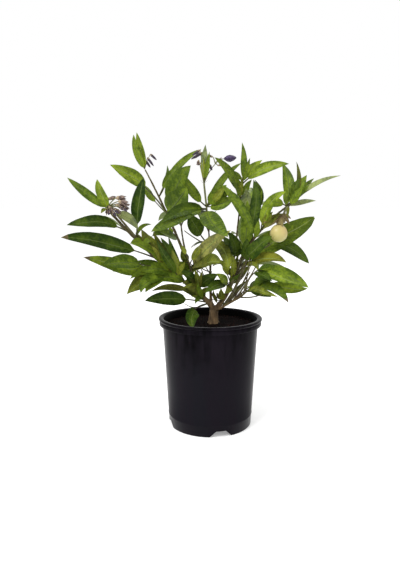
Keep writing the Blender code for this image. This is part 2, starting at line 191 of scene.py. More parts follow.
TWIGS = (
    Limb("right_shoot", "right_fork", 0.25, Run(321, 27, 50, -0.07, 0.08), 2.8, 1.7),
    Limb("right_spur", "right_low", 0.6, Run(317, 12, 38, -0.05, 0.03), 2.2, 1.4),
    Limb("right_inner", "right_outer", 0.05, Run(320, 53, 37, -0.06, 0.04), 2.4, 1.5),
    Limb("right_rise", "right_low", 0.72, Run(1, 81, 48, -0.02), 2.2, 1.3),
    Limb("right_arm", "right_low", 0.78, Run(323, 60, 34, 0.12, -0.03), 2.2, 1.4),
    Limb("left_rise", "left_fork", 0.92, Run(224, 67, 53), 2.6, 1.4),
    Limb("left_curl", "left_fork", 0.34, Run(224, 8, 42, -0.13, -0.07), 1.5, 0.9),
    Limb("fork_curl", "right_fork", 0.55, Run(232, 20, 19, -0.25, -0.09), 3.8, 2.8),
    Limb("centre_spur", "centre", 0.50, Run(241, 3, 49, 0.15), 1.8, 1.0),
    Limb("centre_hook", "centre", 0.50, Run(229, 25, 55, 0.01, -0.07), 2.0, 1.2),
    Limb("fork_link", "right_fork", 0.4, Run(216, 11, 19, -0.02), 1.3, 0.8),
    Limb("inner_a", "centre", 0.20, Run(216, 40, 48), 2.0, 1.3),
    Limb("inner_b", "centre", 0.30, Run(223, 29, 34, -0.10), 1.8, 1.2),
    Limb("inner_c", "centre", 0.24, Run(248, 37, 44, 0.0, 0.03), 1.8, 1.2),
    Limb("right_stem", "right_fork", 0.75, Run(317, 65, 52, -0.03, 0.01), 2.6, 1.3),
    Limb("right_reed", "right_low", 0.45, Run(322, 61, 61, -0.03, -0.02), 2.0, 1.2),
    Limb("right_reach", "right_low", 0.55, Run(317, 34, 49, 0.05, -0.03), 2.0, 1.2),
    Limb("right_cane", "right_low", 0.35, Run(325, 54, 55, -0.01, -0.01), 2.2, 1.2),
    Limb("right_fleck", "right_outer", 0.12, Run(233, 58, 25, -0.06, -0.05), 1.6, 1.0),
    Limb("right_wand", "right_fork", 0.85, Run(318, 49, 42, 0.07, 0.02), 2.0, 1.2),
    Limb("right_pale", "right_fork", 0.86, Run(326, 57, 48, -0.0, 0.02), 3.8, 2.2),
    Limb("right_rod", "right_low", 0.30, Run(335, 65, 72, -0.01, 0.01), 4.4, 2.4),
    Limb("right_back_rod", "right_fork", 0.80, Run(337, 66, 49, -0.02, 0.01), 3.0, 2.0),
    Limb("right_whip", "right_low", 0.50, Run(325, 56, 56, -0.02), 2.6, 1.5),
    Limb("right_lean", "right_low", 0.20, Run(338, 57, 55, 0.0, 0.01), 2.6, 1.6),
    Limb("left_pair", "left_low", 0.6, Run(229, 44, 57, 0.03, -0.05), 3.4, 2.4),
    Limb("fan_left", "left_fork", 0.92, Run(262, 68, 40, 0.01), 1.8, 1.2),
    Limb("fan_right", "centre", 0.1, Run(230, 58, 50, 0.02, -0.03), 1.8, 1.2),
    Limb("fork_pair", "right_fork", 0.22, Run(310, 53, 48), 3.2, 2.2),
    Limb("sepal_spur", "right_outer", 0.95, Run(203, -9, 28, 0.13, -0.03), 1.6, 1.0),
)

SPRAYS = (
    Spray("left_tip", "left_low", 1.0, (
        Leaf(Run(199, 38, 57, -0.02, -0.01), 11, Tint.MID, stalk=0.02, fullness=1.5),
        Leaf(Run(255, 55, 40, -0.01), 12, Tint.LIME, stalk=0.02, fullness=1.35),
        Leaf(Run(252, -23, 16, 0.07, 0.06), 6, Tint.OLIVE),
    ), young=0, behind=0),
    Spray("left_arch", "left_low", 0.76, (
        Leaf(Run(221, 7, 83, 0.09, -0.02), 16, Tint.DEEP, stalk=0.18, fullness=1.5),
        Leaf(Run(22, -32, 39, 0.14, -0.07), 12, Tint.PALE, stalk=0.1, at=("left_low", 0.95)),
    ), young=0),
    Spray("left_upright", "left_low", 0.67, (
        Leaf(Run(359, 83, 77, 0.03), 18, Tint.DARK, stalk=0.25, facing=0.9, fullness=1.5),
        Leaf(Run(40, 40, 30, 0.25, 0.04), 5, Tint.MID),
        Leaf(Run(218, 64, 37, -0.0, 0.05), 12, Tint.BRONZE, at=("left_low", 0.5)),
        Leaf(Run(207, 57, 27, -0.04, 0.01), 9, Tint.BRONZE, at=("left_low", 0.56)),
        Leaf(Run(226, 12, 21, 0.22, 0.01), 9, Tint.MID, at=("left_low", 0.6)),
        Leaf(Run(8, 39, 17, -0.03, -0.18), 8, Tint.MID, at=("left_low", 0.62)),
    ), behind=0),
    Spray("left_long", "left_low", 0.46, (
        Leaf(Run(211, 14, 125, 0.04, -0.02), 21, Tint.DEEP, stalk=0.24, fullness=1.35, brown_tip=True),
    ), behind=0),
    Spray("left_gold", "left_low", 0.31, (
        Leaf(Run(207, 11, 115, -0.04, -0.02), 18, Tint.LIME, stalk=0.22, brown_tip=True, fullness=1.5),
        Leaf(Run(222, 9, 100, 0.04, -0.04), 21, Tint.MID, stalk=0.45, fullness=1.35),
        Leaf(Run(189, 0, 75, -0.01), 7, Tint.OLIVE),
    ), behind=0),
    Spray("left_droop", "left_low", 0.25, (
        Leaf(Run(224, -12, 80, 0.07, -0.1), 23, Tint.OLIVE, facing=0.6),
        Leaf(Run(243, -10, 73, 0.06, -0.09), 16, Tint.MID),
        Leaf(Run(244, -8, 84, 0.06, -0.13), 17, Tint.MID, facing=0.6),
        Leaf(Run(216, 0, 67, 0.13, -0.07), 15, Tint.MID),
        Leaf(Run(223, 17, 67, 0.08, -0.1), 8, Tint.DEEP, at=("left_low", 0.27)),
        Leaf(Run(207, 8, 55, 0.11, 0.12), 18, Tint.MID),
        Leaf(Run(303, 39, 30, -0.02, 0.02), 8, Tint.OLIVE),
    ), behind=2),
    Spray("left_inner", "left_low", 0.16, (
        Leaf(Run(226, 44, 77, 0.02, -0.05), 18, Tint.BRONZE),
        Leaf(Run(222, 33, 98, 0.12, -0.03), 11, Tint.MID, stalk=0.6),
        Leaf(Run(206, 61, 68, -0.02, 0.05), 15, Tint.DEEP),
        Leaf(Run(192, 71, 64, -0.02, 0.02), 8, Tint.DEEP),
        Leaf(Run(239, 58, 53, -0.03, -0.01), 11, Tint.OLIVE),
        Leaf(Run(240, 32, 56, -0.04, 0.08), 11, Tint.MID, at=("left_low", 0.3)),
        Leaf(Run(245, 43, 77, -0.06, 0.04), 11, Tint.DEEP, at=("left_low", 0.22)),
        Leaf(Run(235, 48, 67, 0.05, -0.06), 11, Tint.OLIVE, at=("left_low", 0.3)),
        Leaf(Run(226, 55, 75, 0.02, -0.08), 10, Tint.BRONZE, at=("left_low", 0.22)),
        Leaf(Run(260, 28, 59, -0.08, 0.07), 8, Tint.GOLD, at=("left_low", 0.4)),
    ), behind=0),
    Spray("left_skirt", "left_low", 0.09, (
        Leaf(Run(218, 6, 79, 0.15, 0.01), 19, Tint.MID),
    )),
    Spray("left_foot", "left_fork", 0.7, (
        Leaf(Run(204, 9, 72, 0.12), 9, Tint.BRONZE, stalk=0.3),
        Leaf(Run(224, 8, 104, 0.03, -0.03), 19, Tint.DARK, stalk=0.33, fullness=1.5, at=("left_fork", 0.42)),
        Leaf(Run(234, 24, 36, 0.14), 13, Tint.BRONZE, at=("left_low", 0.02)),
        Leaf(Run(253, -2, 36, 0.11), 8, Tint.DEEP, at=("left_fork", 0.6)),
        Leaf(Run(232, 24, 65, 0.04, -0.04), 9, Tint.BRONZE, at=("left_fork", 0.45)),
        Leaf(Run(224, 34, 43, 0.04, -0.03), 8, Tint.DEEP, at=("left_fork", 0.6)),
        Leaf(Run(243, 17, 42, 0.02, -0.03), 6, Tint.OLIVE, at=("left_fork", 0.5)),
        Leaf(Run(284, 37, 32, 0.03, -0.07), 8, Tint.BRONZE, at=("left_fork", 0.6)),
    ), young=0, behind=0),
    Spray("high_tip", "left_high", 1.0, (
        Leaf(Run(221, 69, 47, -0.05, -0.04), 10, Tint.MID, stalk=0.02, facing=0.9, fullness=1.4),
        Leaf(Run(198, 78, 49, 0.01), 10, Tint.LIME, stalk=0.04, facing=0.6, fullness=1.5),
    ), young=0, behind=0),
    Spray("high_left", "left_high", 0.62, (
        Leaf(Run(205, 39, 99, 0.08), 19, Tint.LIME, stalk=0.45, fullness=1.6),
        Leaf(Run(161, 47, 56, -0.02, 0.02), 10, Tint.MID, stalk=0.4),
    ), young=0, behind=0),
    Spray("high_arch", "left_high", 0.76, (
        Leaf(Run(26, 46, 92, 0.08, 0.05), 10, Tint.MID, stalk=0.22, fullness=1.25),
        Leaf(Run(18, 58, 49, 0.04, -0.01), 11, Tint.MID, stalk=0.25, fullness=1.5),
        Leaf(Run(48, 70, 46, -0.05, -0.09), 6, Tint.DEEP, stalk=0.3),
    ), young=0, behind=0),
    Spray("high_broad", "left_high", 0.62, (
        Leaf(Run(326, 57, 74, 0.05, -0.03), 28, Tint.MID, stalk=0.2, facing=0.9, fullness=1.6),
        Leaf(Run(312, 38, 55, -0.01, 0.02), 32, Tint.MID, stalk=0.06, facing=0.9, fullness=1.5),
    ), young=0, behind=2),
    Spray("high_inner", "left_high", 0.43, (
        Leaf(Run(243, 3, 61, 0.08, -0.02), 13, Tint.DEEP, stalk=0.2),
        Leaf(Run(243, 11, 46, -0.04, 0.03), 17, Tint.MID, stalk=0.1),
    )),
    Spray("centre_top", "centre", 1.0, (
        Leaf(Run(292, 84, 51, -0.01), 11, Tint.PALE, facing=0.95),
        Leaf(Run(308, 74, 43, -0.04, -0.03), 7, Tint.MID, facing=0.9),
        Leaf(Run(223, 84, 42, -0.01, 0.03), 6, Tint.OLIVE, facing=0.9),
    ), young=0, behind=0),
    Spray("centre_fan", "centre", 0.82, (
        Leaf(Run(219, 47, 61, -0.06, -0.03), 14, Tint.MID, fullness=1.4),
        Leaf(Run(26, 48, 80, 0.06, 0.02), 11, Tint.MID, stalk=0.05, fullness=1.4),
        Leaf(Run(343, 19, 40, -0.11, -0.19), 19, Tint.MID, facing=0.9),
        Leaf(Run(328, 42, 42, -0.04, -0.11), 17, Tint.MID, facing=0.9, fullness=1.5),
        Leaf(Run(316, 37, 44, -0.06, -0.03), 11, Tint.OLIVE, facing=0.9, stalk=0.3),
        Leaf(Run(330, 65, 30, -0.06, 0.04), 10, Tint.MID, facing=0.9),
        Leaf(Run(333, 32, 43, -0.02, 0.03), 12, Tint.MID, facing=0.9),
    ), behind=0),
    Spray("crown_left", "centre", 0.80, (
        Leaf(Run(238, -9, 104, 0.07, -0.02), 17, Tint.DEEP, stalk=0.08, fullness=1.6, facing=0.85),
        Leaf(Run(238, -12, 124, 0.04, 0.0), 19, Tint.MID, stalk=0.1, fullness=1.2, facing=0.85),
    ), young=0, behind=0),
    Spray("crown_right", "centre", 0.8, (
        Leaf(Run(286, -19, 100, -0.01, -0.06), 25, Tint.MID, stalk=0.08, facing=0.85, fullness=1.5),
    ), young=0),
    Spray("centre_hang", "centre", 0.5, (
        Leaf(Run(234, 46, 63, 0.01, -0.08), 21, Tint.DEEP, stalk=0.34, facing=0.9, fullness=1.5),
    ), behind=0),
    Spray("right_top", "right_high", 1.0, (
        Leaf(Run(230, 36, 70, 0.02, 0.03), 14, Tint.MID, stalk=0.02, fullness=1.3, at=("right_high", 0.94)),
        Leaf(Run(270, 84, 56, 0.0, 0.06), 9, Tint.MID, facing=0.9),
        Leaf(Run(338, 22, 70, 0.1, -0.01), 16, Tint.LIME, fullness=1.6),
        Leaf(Run(28, 46, 48, 0.08, 0.02), 12, Tint.LIME),
        Leaf(Run(310, 50, 34, 0.03, 0.01), 9, Tint.MID, facing=0.9, at=("right_high", 0.86)),
        Leaf(Run(272, 62, 35, 0.04), 7, Tint.OLIVE, facing=0.9, at=("right_high", 0.84)),
        Leaf(Run(245, 36, 30, 0.08, 0.04), 7, Tint.MID, facing=0.9, at=("right_high", 0.86)),
        Leaf(Run(291, 52, 43, 0.0, 0.04), 7, Tint.LIME),
    ), young=3, behind=0),
    Spray("right_back", "right_high", 0.7, (
        Leaf(Run(301, 53, 59, -0.1, 0.24), 14, Tint.DEEP, facing=0.85),
        Leaf(Run(293, 61, 42, -0.01, 0.09), 15, Tint.PALE, facing=0.9),
        Leaf(Run(278, 76, 86, 0.0, 0.06), 14, Tint.DEEP, facing=0.9, fullness=1.5, at=("right_outer", 0.42)),
        Leaf(Run(321, 77, 69, 0.0, -0.02), 10, Tint.MID, facing=0.9, at=("right_outer", 0.46)),
    ), young=0),
    Spray("right_olive", "right_outer", 0.32, (
        Leaf(Run(280, 78, 71, -0.04, 0.01), 19, Tint.MID, facing=0.9),
        Leaf(Run(214, 53, 86, 0.06, 0.03), 13, Tint.MID, stalk=0.08, facing=0.9, fullness=1.4,
             at=("right_outer", 0.5)),
        Leaf(Run(268, 65, 28, -0.02, -0.05), 11, Tint.DEEP, facing=0.9, at=("right_inner", 1.0)),
    )),
    Spray("outer_mid", "right_outer", 0.62, (
        Leaf(Run(302, 45, 67, 0.09, -0.09), 14, Tint.LIME, stalk=0.12, fullness=1.5),
        Leaf(Run(322, 32, 39, 0.13), 6, Tint.BRONZE),
        Leaf(Run(294, 40, 36, 0.04), 10, Tint.OLIVE),
        Leaf(Run(249, -57, 20, -0.01, -0.05), 4, Tint.BRONZE, at=("right_outer", 0.97)),
        Leaf(Run(293, 59, 32, 0.0, 0.07), 8, Tint.MID, facing=0.9, at=("right_outer", 0.48)),
        Leaf(Run(204, -40, 39, -0.02, -0.04), 6, Tint.BRONZE, at=("right_outer", 0.9)),
        Leaf(Run(312, 32, 34), 5, Tint.OLIVE, at=("right_outer", 0.62)),
    ), behind=0),
    Spray("outer_up", "right_outer", 1.0, (
        Leaf(Run(101, 67, 60, 0.03, -0.08), 15, Tint.MID, stalk=0.06, at=("right_outer", 0.94)),
        Leaf(Run(273, 73, 51, -0.0, 0.1), 6, Tint.BRONZE),
        Leaf(Run(37, 55, 42, 0.02, 0.02), 12, Tint.MID),
        Leaf(Run(39, 38, 50, 0.02, 0.01), 8, Tint.MID),
        Leaf(Run(288, 61, 33, 0.01, -0.07), 12, Tint.MID),
        Leaf(Run(243, 55, 23, -0.06, 0.04), 10, Tint.MID, at=("right_outer", 0.94)),
        Leaf(Run(298, 38, 39, -0.02, 0.02), 11, Tint.MID, at=("right_outer", 0.94)),
        Leaf(Run(307, 36, 41, 0.01, 0.02), 8, Tint.MID, at=("right_outer", 0.96)),
    ), young=0, behind=0),
    Spray("outer_side", "right_outer", 0.94, (
        Leaf(Run(323, 27, 78, 0.08, -0.01), 8, Tint.PALE),
        Leaf(Run(326, 10, 39, 0.04, 0.04), 7, Tint.PALE, stalk=0.06),
        Leaf(Run(207, -2, 38, 0.13, 0.04), 12, Tint.MID),
    ), young=0),
    Spray("right_long", "right_outer", 0.24, (
        Leaf(Run(10, 29, 116, 0.01), 29, Tint.MID, stalk=0.06, fullness=1.05),
        Leaf(Run(4, 31, 113, -0.0, -0.1), 22, Tint.LIME, stalk=0.38, fullness=1.35),
        Leaf(Run(315, 34, 63, -0.02, -0.06), 18, Tint.DEEP, fullness=1.5),
    ), behind=0),
    Spray("right_hang", "right_outer", 0.4, (
        Leaf(Run(12, -15, 88, 0.16, -0.01), 17, Tint.DEEP, stalk=0.38, fullness=1.4),
    ), young=0, behind=0),
    Spray("right_gold", "right_outer", 0.17, (
        Leaf(Run(317, 9, 79, 0.1, 0.03), 18, Tint.GOLD, stalk=0.3),
        Leaf(Run(42, 35, 47, -0.08, 0.07), 9, Tint.BRONZE, facing=0.9, at=("right_fork", 0.9)),
        Leaf(Run(44, 37, 46, -0.01, 0.09), 7, Tint.BRONZE, facing=0.9, at=("right_low", 0.35)),
        Leaf(Run(42, 55, 54, -0.0, 0.05), 7, Tint.DEEP, facing=0.9, at=("right_fork", 0.7)),
        Leaf(Run(302, 0, 46, 0.16, 0.11), 7, Tint.OLIVE),
    )),
    Spray("low_bright", "right_low", 1.0, (
        Leaf(Run(315, -10, 78, 0.06), 19, Tint.MID, stalk=0.05, fullness=1.4, at=("right_arm", 1.0)),
        Leaf(Run(303, -6, 75, 0.04, -0.1), 13, Tint.LIME, stalk=0.25, at=("right_arm", 1.0)),
        Leaf(Run(288, -6, 51, 0.05, -0.05), 12, Tint.DEEP, stalk=0.1, at=("right_arm", 0.9)),
        Leaf(Run(292, 16, 44, 0.01, -0.05), 8, Tint.DEEP, at=("right_arm", 0.95)),
        Leaf(Run(339, 0, 67, -0.02, 0.02), 15, Tint.LIME, stalk=0.25),
    ), behind=0),
    Spray("low_droop", "right_low", 0.8, (
        Leaf(Run(298, 0, 89, 0.12, 0.05), 16, Tint.MID, stalk=0.1, fullness=1.5, brown_tip=True),
        Leaf(Run(293, 4, 78, 0.07, -0.06), 9, Tint.OLIVE, stalk=0.1, fullness=1.5),
        Leaf(Run(335, -8, 34, 0.05), 9, Tint.DEEP),
        Leaf(Run(320, 8, 29, 0.22, -0.1), 9, Tint.DEEP, at=("right_reach", 0.7)),
        Leaf(Run(305, 25, 26, 0.02), 9, Tint.DEEP, at=("right_low", 0.9)),
    )),
    Spray("front_tan", "left_high", 0.16, (
        Leaf(Run(311, 35, 96, 0.05, -0.02), 19, Tint.TAN, stalk=0.1),
        Leaf(Run(300, 12, 82, 0.04, 0.02), 26, Tint.OLIVE, stalk=0.06),
        Leaf(Run(300, 12, 63, 0.03, -0.08), 11, Tint.BRONZE),
        Leaf(Run(243, 53, 28, -0.04, -0.03), 11, Tint.OLIVE, at=("left_high", 0.2)),
        Leaf(Run(306, 69, 49, 0.05, 0.04), 6, Tint.BRONZE, facing=0.9, at=("right_fork", 0.92)),
        Leaf(Run(272, 63, 54, 0.08, 0.09), 8, Tint.OLIVE, facing=0.9, at=("right_fork", 0.85)),
        Leaf(Run(245, 26, 66, 0.22, -0.05), 10, Tint.OLIVE, at=("right_fork", 0.98)),
        Leaf(Run(225, 32, 33, 0.04), 11, Tint.MID, at=("left_high", 0.13)),
        Leaf(Run(331, 52, 33, 0.03, -0.01), 9, Tint.OLIVE, at=("inner_a", 1.0)),
        Leaf(Run(241, 14, 47, 0.21, -0.01), 4, Tint.DEEP, at=("centre", 0.45)),
        Leaf(Run(154, 59, 17, -0.01), 6, Tint.OLIVE, at=("left_rise", 1.0)),
    ), young=0),
    Spray("front_blue", "right_high", 0.30, (
        Leaf(Run(254, 47, 48, 0.0, 0.1), 17, Tint.DEEP, stalk=0.02, facing=0.9, fullness=1.5),
        Leaf(Run(254, 48, 32, -0.03, -0.05), 8, Tint.BRONZE, facing=0.9, at=("right_high", 0.1)),
        Leaf(Run(289, 55, 37, -0.01, 0.06), 11, Tint.DEEP, facing=0.9, at=("right_outer", 0.25)),
    ), young=0),
    Spray("front_hang", "centre", 0.55, (
        Leaf(Run(288, -23, 82, 0.06, 0.09), 15, Tint.OLIVE, stalk=0.06, fullness=1.1),
        Leaf(Run(249, 32, 59, 0.06, -0.01), 10, Tint.DEEP, facing=0.9, at=("right_high", 0.3)),
    ), young=0, behind=0),
    Spray("fork_left", "left_fork", 0.95, (
        Leaf(Run(334, 40, 38, 0.09, -0.03), 16, Tint.DEEP),
        Leaf(Run(223, 43, 45, 0.08, 0.05), 13, Tint.DEEP),
        Leaf(Run(237, 20, 42, 0.12, 0.02), 10, Tint.OLIVE, at=("left_fork", 0.8)),
        Leaf(Run(235, 26, 40, 0.11, 0.04), 11, Tint.BRONZE, at=("left_fork", 0.6)),
        Leaf(Run(253, 41, 43, -0.01, -0.04), 8, Tint.MID, at=("left_fork", 0.5)),
        Leaf(Run(257, 55, 41, 0.02, 0.02), 8, Tint.OLIVE, at=("left_fork", 0.9)),
        Leaf(Run(285, 56, 38, 0.01, -0.02), 5, Tint.BRONZE, at=("left_fork", 0.9)),
    ), young=0),
    Spray("fork_right", "right_fork", 0.9, (
        Leaf(Run(233, -2, 55, 0.11, -0.01), 14, Tint.DEEP),
        Leaf(Run(256, -7, 36, 0.06, 0.07), 10, Tint.OLIVE),
        Leaf(Run(244, 27, 49, 0.02, -0.01), 12, Tint.LIME),
        Leaf(Run(267, 40, 36, -0.03, 0.01), 9, Tint.OLIVE, at=("right_fork", 0.35)),
        Leaf(Run(249, 51, 31, 0.0, -0.06), 5, Tint.BRONZE, at=("right_fork", 0.2)),
    ), behind=0),
    Spray("pot_leaf", "left_fork", 0.34, (
        Leaf(Run(249, -24, 55, 0.11, -0.16), 17, Tint.DEEP, stalk=0.42, fullness=1.2, facing=0.95),
    ), young=0, behind=0),
    Spray("back_left_top", "back_left", 1.0, (
        Leaf(Run(100, 28, 75, 0.10), 18, Tint.MID, facing=-0.5),
        Leaf(Run(128, -6, 60, 0.10), 17, Tint.LIME, facing=-0.3),
        Leaf(Run(60, 12, 56, 0.05), 16, Tint.DEEP, facing=-0.4),
    ), young=3, behind=0),
    Spray("back_left_mid", "back_left", 0.60, (
        Leaf(Run(112, -4, 78, 0.14), 19, Tint.DEEP, facing=-0.3, at=("back_left", 0.9)),
        Leaf(Run(78, 4, 60, 0.12), 15, Tint.MID, facing=-0.3, at=("back_left", 0.9)),
    ), young=0, behind=0),
    Spray("back_right_top", "back_right", 1.0, (
        Leaf(Run(85, 30, 75, 0.10), 18, Tint.LIME, facing=-0.5),
        Leaf(Run(30, 10, 65, 0.12), 17, Tint.MID, facing=-0.3),
        Leaf(Run(135, 34, 58, 0.05), 15, Tint.DEEP, facing=-0.4),
    ), young=3, behind=0),
    Spray("back_right_mid", "back_right", 0.60, (
        Leaf(Run(44, 2, 84, 0.14), 19, Tint.DEEP, facing=-0.3),
        Leaf(Run(105, 10, 66, 0.12), 16, Tint.OLIVE, facing=-0.3),
    ), behind=0),
    Spray("back_low_left", "back_left", 0.26, (
        Leaf(Run(102, -6, 84, 0.15), 18, Tint.MID, facing=-0.3),
        Leaf(Run(160, -6, 72, 0.12), 17, Tint.DEEP, facing=-0.3),
    ), behind=0),
    Spray("back_low_right", "back_right", 0.28, (
        Leaf(Run(64, -6, 84, 0.15), 18, Tint.DEEP, facing=-0.3),
        Leaf(Run(22, -4, 86, 0.12), 17, Tint.OLIVE, facing=-0.3),
    ), behind=0),
    Spray("back_high", "centre", 0.62, (
        Leaf(Run(84, 18, 76, 0.12), 17, Tint.MID, facing=-0.5),
        Leaf(Run(128, 32, 66, 0.10), 15, Tint.LIME, facing=-0.4),
    ), behind=0),
)


def direction(heading: float, rise: float) -> Vector:
    """The unit vector of a heading and a rise in degrees."""
    across, up = math.radians(heading), math.radians(rise)
    return Vector((math.cos(up) * math.cos(across), math.cos(up) * math.sin(across), math.sin(up)))


def turned(radius: float, height: float, sides: int) -> list[Vector]:
    """Gives a level ring of points round the Z axis.

    Args:
        radius: The ring's radius in metres.
        height: Its height in metres.
        sides: How many points.

    Returns:
        The points, counter-clockwise from above.
    """
    angles = [math.tau * step / sides for step in range(sides)]
    return [Vector((radius * math.cos(angle), radius * math.sin(angle), height)) for angle in angles]


class Mesh:
    """Gathers points and faces, and makes them one closed piece."""

    def __init__(self) -> None:
        """Starts with nothing."""
        self.points: list[Vector] = []
        self.faces: list[tuple[int, ...]] = []

    def add_point(self, point: Vector) -> int:
        """Adds a point and returns its number."""
        self.points.append(point)
        return len(self.points) - 1

    def band(self, rings: Sequence[Sequence[Vector]]) -> None:
        """Adds a closed hoop, whose section is a loop of rings that ends where it starts.

        Args:
            rings: Rings of points of one count, the last one in the first one's place.
        """
        count = len(rings[0])
        numbers = [[self.add_point(point) for point in ring] for ring in rings[:-1]]
        for low, high in zip(numbers, numbers[1:] + numbers[:1]):
            for step in range(count):
                after = (step + 1) % count
                self.faces.append((low[step], low[after], high[after], high[step]))

    def tube(self, rings: Sequence[Sequence[Vector]]) -> None:
        """Adds a closed tube of rings, capped at both ends.

        Args:
            rings: Rings of points of one count, in order along the tube.
        """
        count = len(rings[0])
        numbers = [[self.add_point(point) for point in ring] for ring in rings]
        for low, high in zip(numbers, numbers[1:]):
            for step in range(count):
                after = (step + 1) % count
                self.faces.append((low[step], low[after], high[after], high[step]))
        for ring, flip in ((numbers[0], True), (numbers[-1], False)):
            middle = self.add_point(sum((self.points[number] for number in ring), Vector()) / count)
            for step in range(count):
                pair = (ring[step], ring[(step + 1) % count])
                self.faces.append((*(reversed(pair) if flip else pair), middle))

    def spindle(self, foot: Vector, tip: Vector, widths: Sequence[float], sides: int = 8,
                ripple: float = 0.0) -> None:
        """Adds a round body between two points, with evenly spaced widths.

        Args:
            foot: Its first end.
            tip: Its second end.
            widths: Its radii in metres from foot to tip.
            sides: Points in each ring.
            ripple: How uneven the rings are, as a share of the radius.
        """
        axis = (tip - foot).normalized()
        side = axis.orthogonal().normalized()
        up = axis.cross(side)
        rings = []
        for index, width in enumerate(widths):
            centre = foot.lerp(tip, index / (len(widths) - 1))
            ring = []
            for step in range(sides):
                angle = math.tau * step / sides
                outward = side * math.cos(angle) + up * math.sin(angle)
                uneven = 1 + ripple * noise.noise((centre + outward * width) * 700)
                ring.append(centre + outward * width * uneven)
            rings.append(ring)
        self.tube(rings)

    def petal(self, foot: Vector, out: Vector, up: Vector, length: float, width: float, curl: float) -> None:
        """Adds a small closed petal or sepal that curls along its length.

        Args:
            foot: Where it is fixed.
            out: The unit direction in which it grows.
            up: The unit direction in which its tip curls.
            length: Its length in metres.
            width: Its greatest width in metres.
            curl: How far the tip rises, as a share of the length.
        """
        side = out.cross(up).normalized()
        rings = []
        for share, size in ((0.0, 0.35), (0.25, 0.85), (0.5, 1.0), (0.78, 0.62), (1.0, 0.08)):
            centre = foot + (out * share + up * curl * share * share) * length
            half = side * width / 2 * size
            thick = up * width * 0.05
            rings.append([centre - half, centre - thick, centre + half, centre + thick])
        self.tube(rings)

    def build(self, name: str) -> bpy.types.Object:
        """Makes the smooth-shaded object at the origin, its faces turned outwards.

        Args:
            name: The piece's name.

        Returns:
            The object.
        """
        data = bpy.data.meshes.new(name)
        data.from_pydata([tuple(point) for point in self.points], [], self.faces)
        solid = bmesh.new()
        solid.from_mesh(data)
        bmesh.ops.recalc_face_normals(solid, faces=solid.faces)
        solid.to_mesh(data)
        solid.free()
        data.shade_smooth()
        return linked(name, data)


class Spines:
    """Gathers centre lines, with the values that a node tree reads along them."""

    def __init__(self) -> None:
        """Starts with nothing."""
        self.points: list[Vector] = []
        self.edges: list[tuple[int, int]] = []
        self.values: dict[str, list[float | Vector]] = {}

    def line(self, points: Sequence[Vector], **values: Sequence[float | Vector]) -> None:
        """Adds one centre line.

        Args:
            points: Its points in order.
            **values: For each name, one number or vector a point.
        """
        first = len(self.points)
        self.points += points
        self.edges += [(first + step, first + step + 1) for step in range(len(points) - 1)]
        for name, row in values.items():
            self.values.setdefault(name, []).extend(row)

    def source(self) -> bpy.types.Object:
        """Makes the object of loose edges that a tree starts from."""
        data = bpy.data.meshes.new("spines")
        data.from_pydata([tuple(point) for point in self.points], self.edges, [])
        kinds = {name: "FLOAT_VECTOR" if isinstance(row[0], Vector) else "FLOAT" for name, row in self.values.items()}
        for name, kind in kinds.items():
            data.attributes.new(name, kind, "POINT")
        for name, kind in kinds.items():
            row = self.values[name]
            if kind == "FLOAT":
                data.attributes[name].data.foreach_set("value", row)
            else:
                data.attributes[name].data.foreach_set("vector", [part for vector in row for part in vector])
        return linked("spines", data)


def linked(name: str, data: bpy.types.Mesh) -> bpy.types.Object:
    """Puts a mesh in the scene as an object at the origin."""
    piece = bpy.data.objects.new(name, data)
    bpy.context.scene.collection.objects.link(piece)
    return piece


def finished(piece: bpy.types.Object, look: bpy.types.Material, nodes: Iterable[str] = ()) -> None:
    """Dresses a piece and ties it to the frame.

    Args:
        piece: The finished mesh object.
        look: Its material.
        nodes: The frame's nodes that it stands for.
    """
    piece.data.materials.clear()
    piece.data.materials.append(look)
    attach(piece, BODY)
    names = tuple(nodes)
    if names:
        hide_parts(*names)
    LOG.info("%s: %d faces, stands for %d nodes", piece.name, len(piece.data.polygons), len(names))


class Nodes:
    """A node tree under construction, with short calls that add and link its nodes."""

    def __init__(self, tree: bpy.types.NodeTree) -> None:
        """Takes the tree that the calls write to."""
        self.tree = tree

    def put(self, kind: str, inputs: Optional[dict[Any, Any]] = None, **settings: Any) -> bpy.types.Node:
        """Adds a node.

        Args:
            kind: The node's type.
            inputs: For each input's name or number, a socket to link or a value to set.
            **settings: The node's own properties.

        Returns:
            The node.
        """
        node = self.tree.nodes.new(kind)
        for name, value in settings.items():
            setattr(node, name, value)
        for name, value in (inputs or {}).items():
            if isinstance(value, bpy.types.NodeSocket):
                self.tree.links.new(value, node.inputs[name])
            else:
                node.inputs[name].default_value = value
        return node

    def maths(self, operation: str, first: Any, second: Any = 0.0, third: Any = 0.0) -> bpy.types.NodeSocket:
        """Adds a Math node and returns its result."""
        return self.put("ShaderNodeMath", {0: first, 1: second, 2: third}, operation=operation).outputs[0]


class Tree(Nodes):
    """A node group with named inputs and outputs."""

    def __init__(self, name: str, kind: str) -> None:
        """Starts an empty group of a kind."""
        super().__init__(bpy.data.node_groups.new(name, kind))
        self.start = self.tree.nodes.new("NodeGroupInput")
        self.end = self.tree.nodes.new("NodeGroupOutput")

    def take(self, name: str, kind: str, value: Any = None) -> bpy.types.NodeSocket:
        """Adds an input.

        Args:
            name: The input's name.
            kind: The end of its socket type's name, such as Float.
            value: Its default.

        Returns:
            The socket inside the group.
        """
        socket = self.tree.interface.new_socket(name, in_out="INPUT", socket_type=f"NodeSocket{kind}")
        if value is not None:
            socket.default_value = value
        return self.start.outputs[name]

    def give(self, name: str, kind: str, source: bpy.types.NodeSocket) -> None:
        """Adds an output that a socket feeds."""
        self.tree.interface.new_socket(name, in_out="OUTPUT", socket_type=f"NodeSocket{kind}")
        self.tree.links.new(source, self.end.inputs[name])


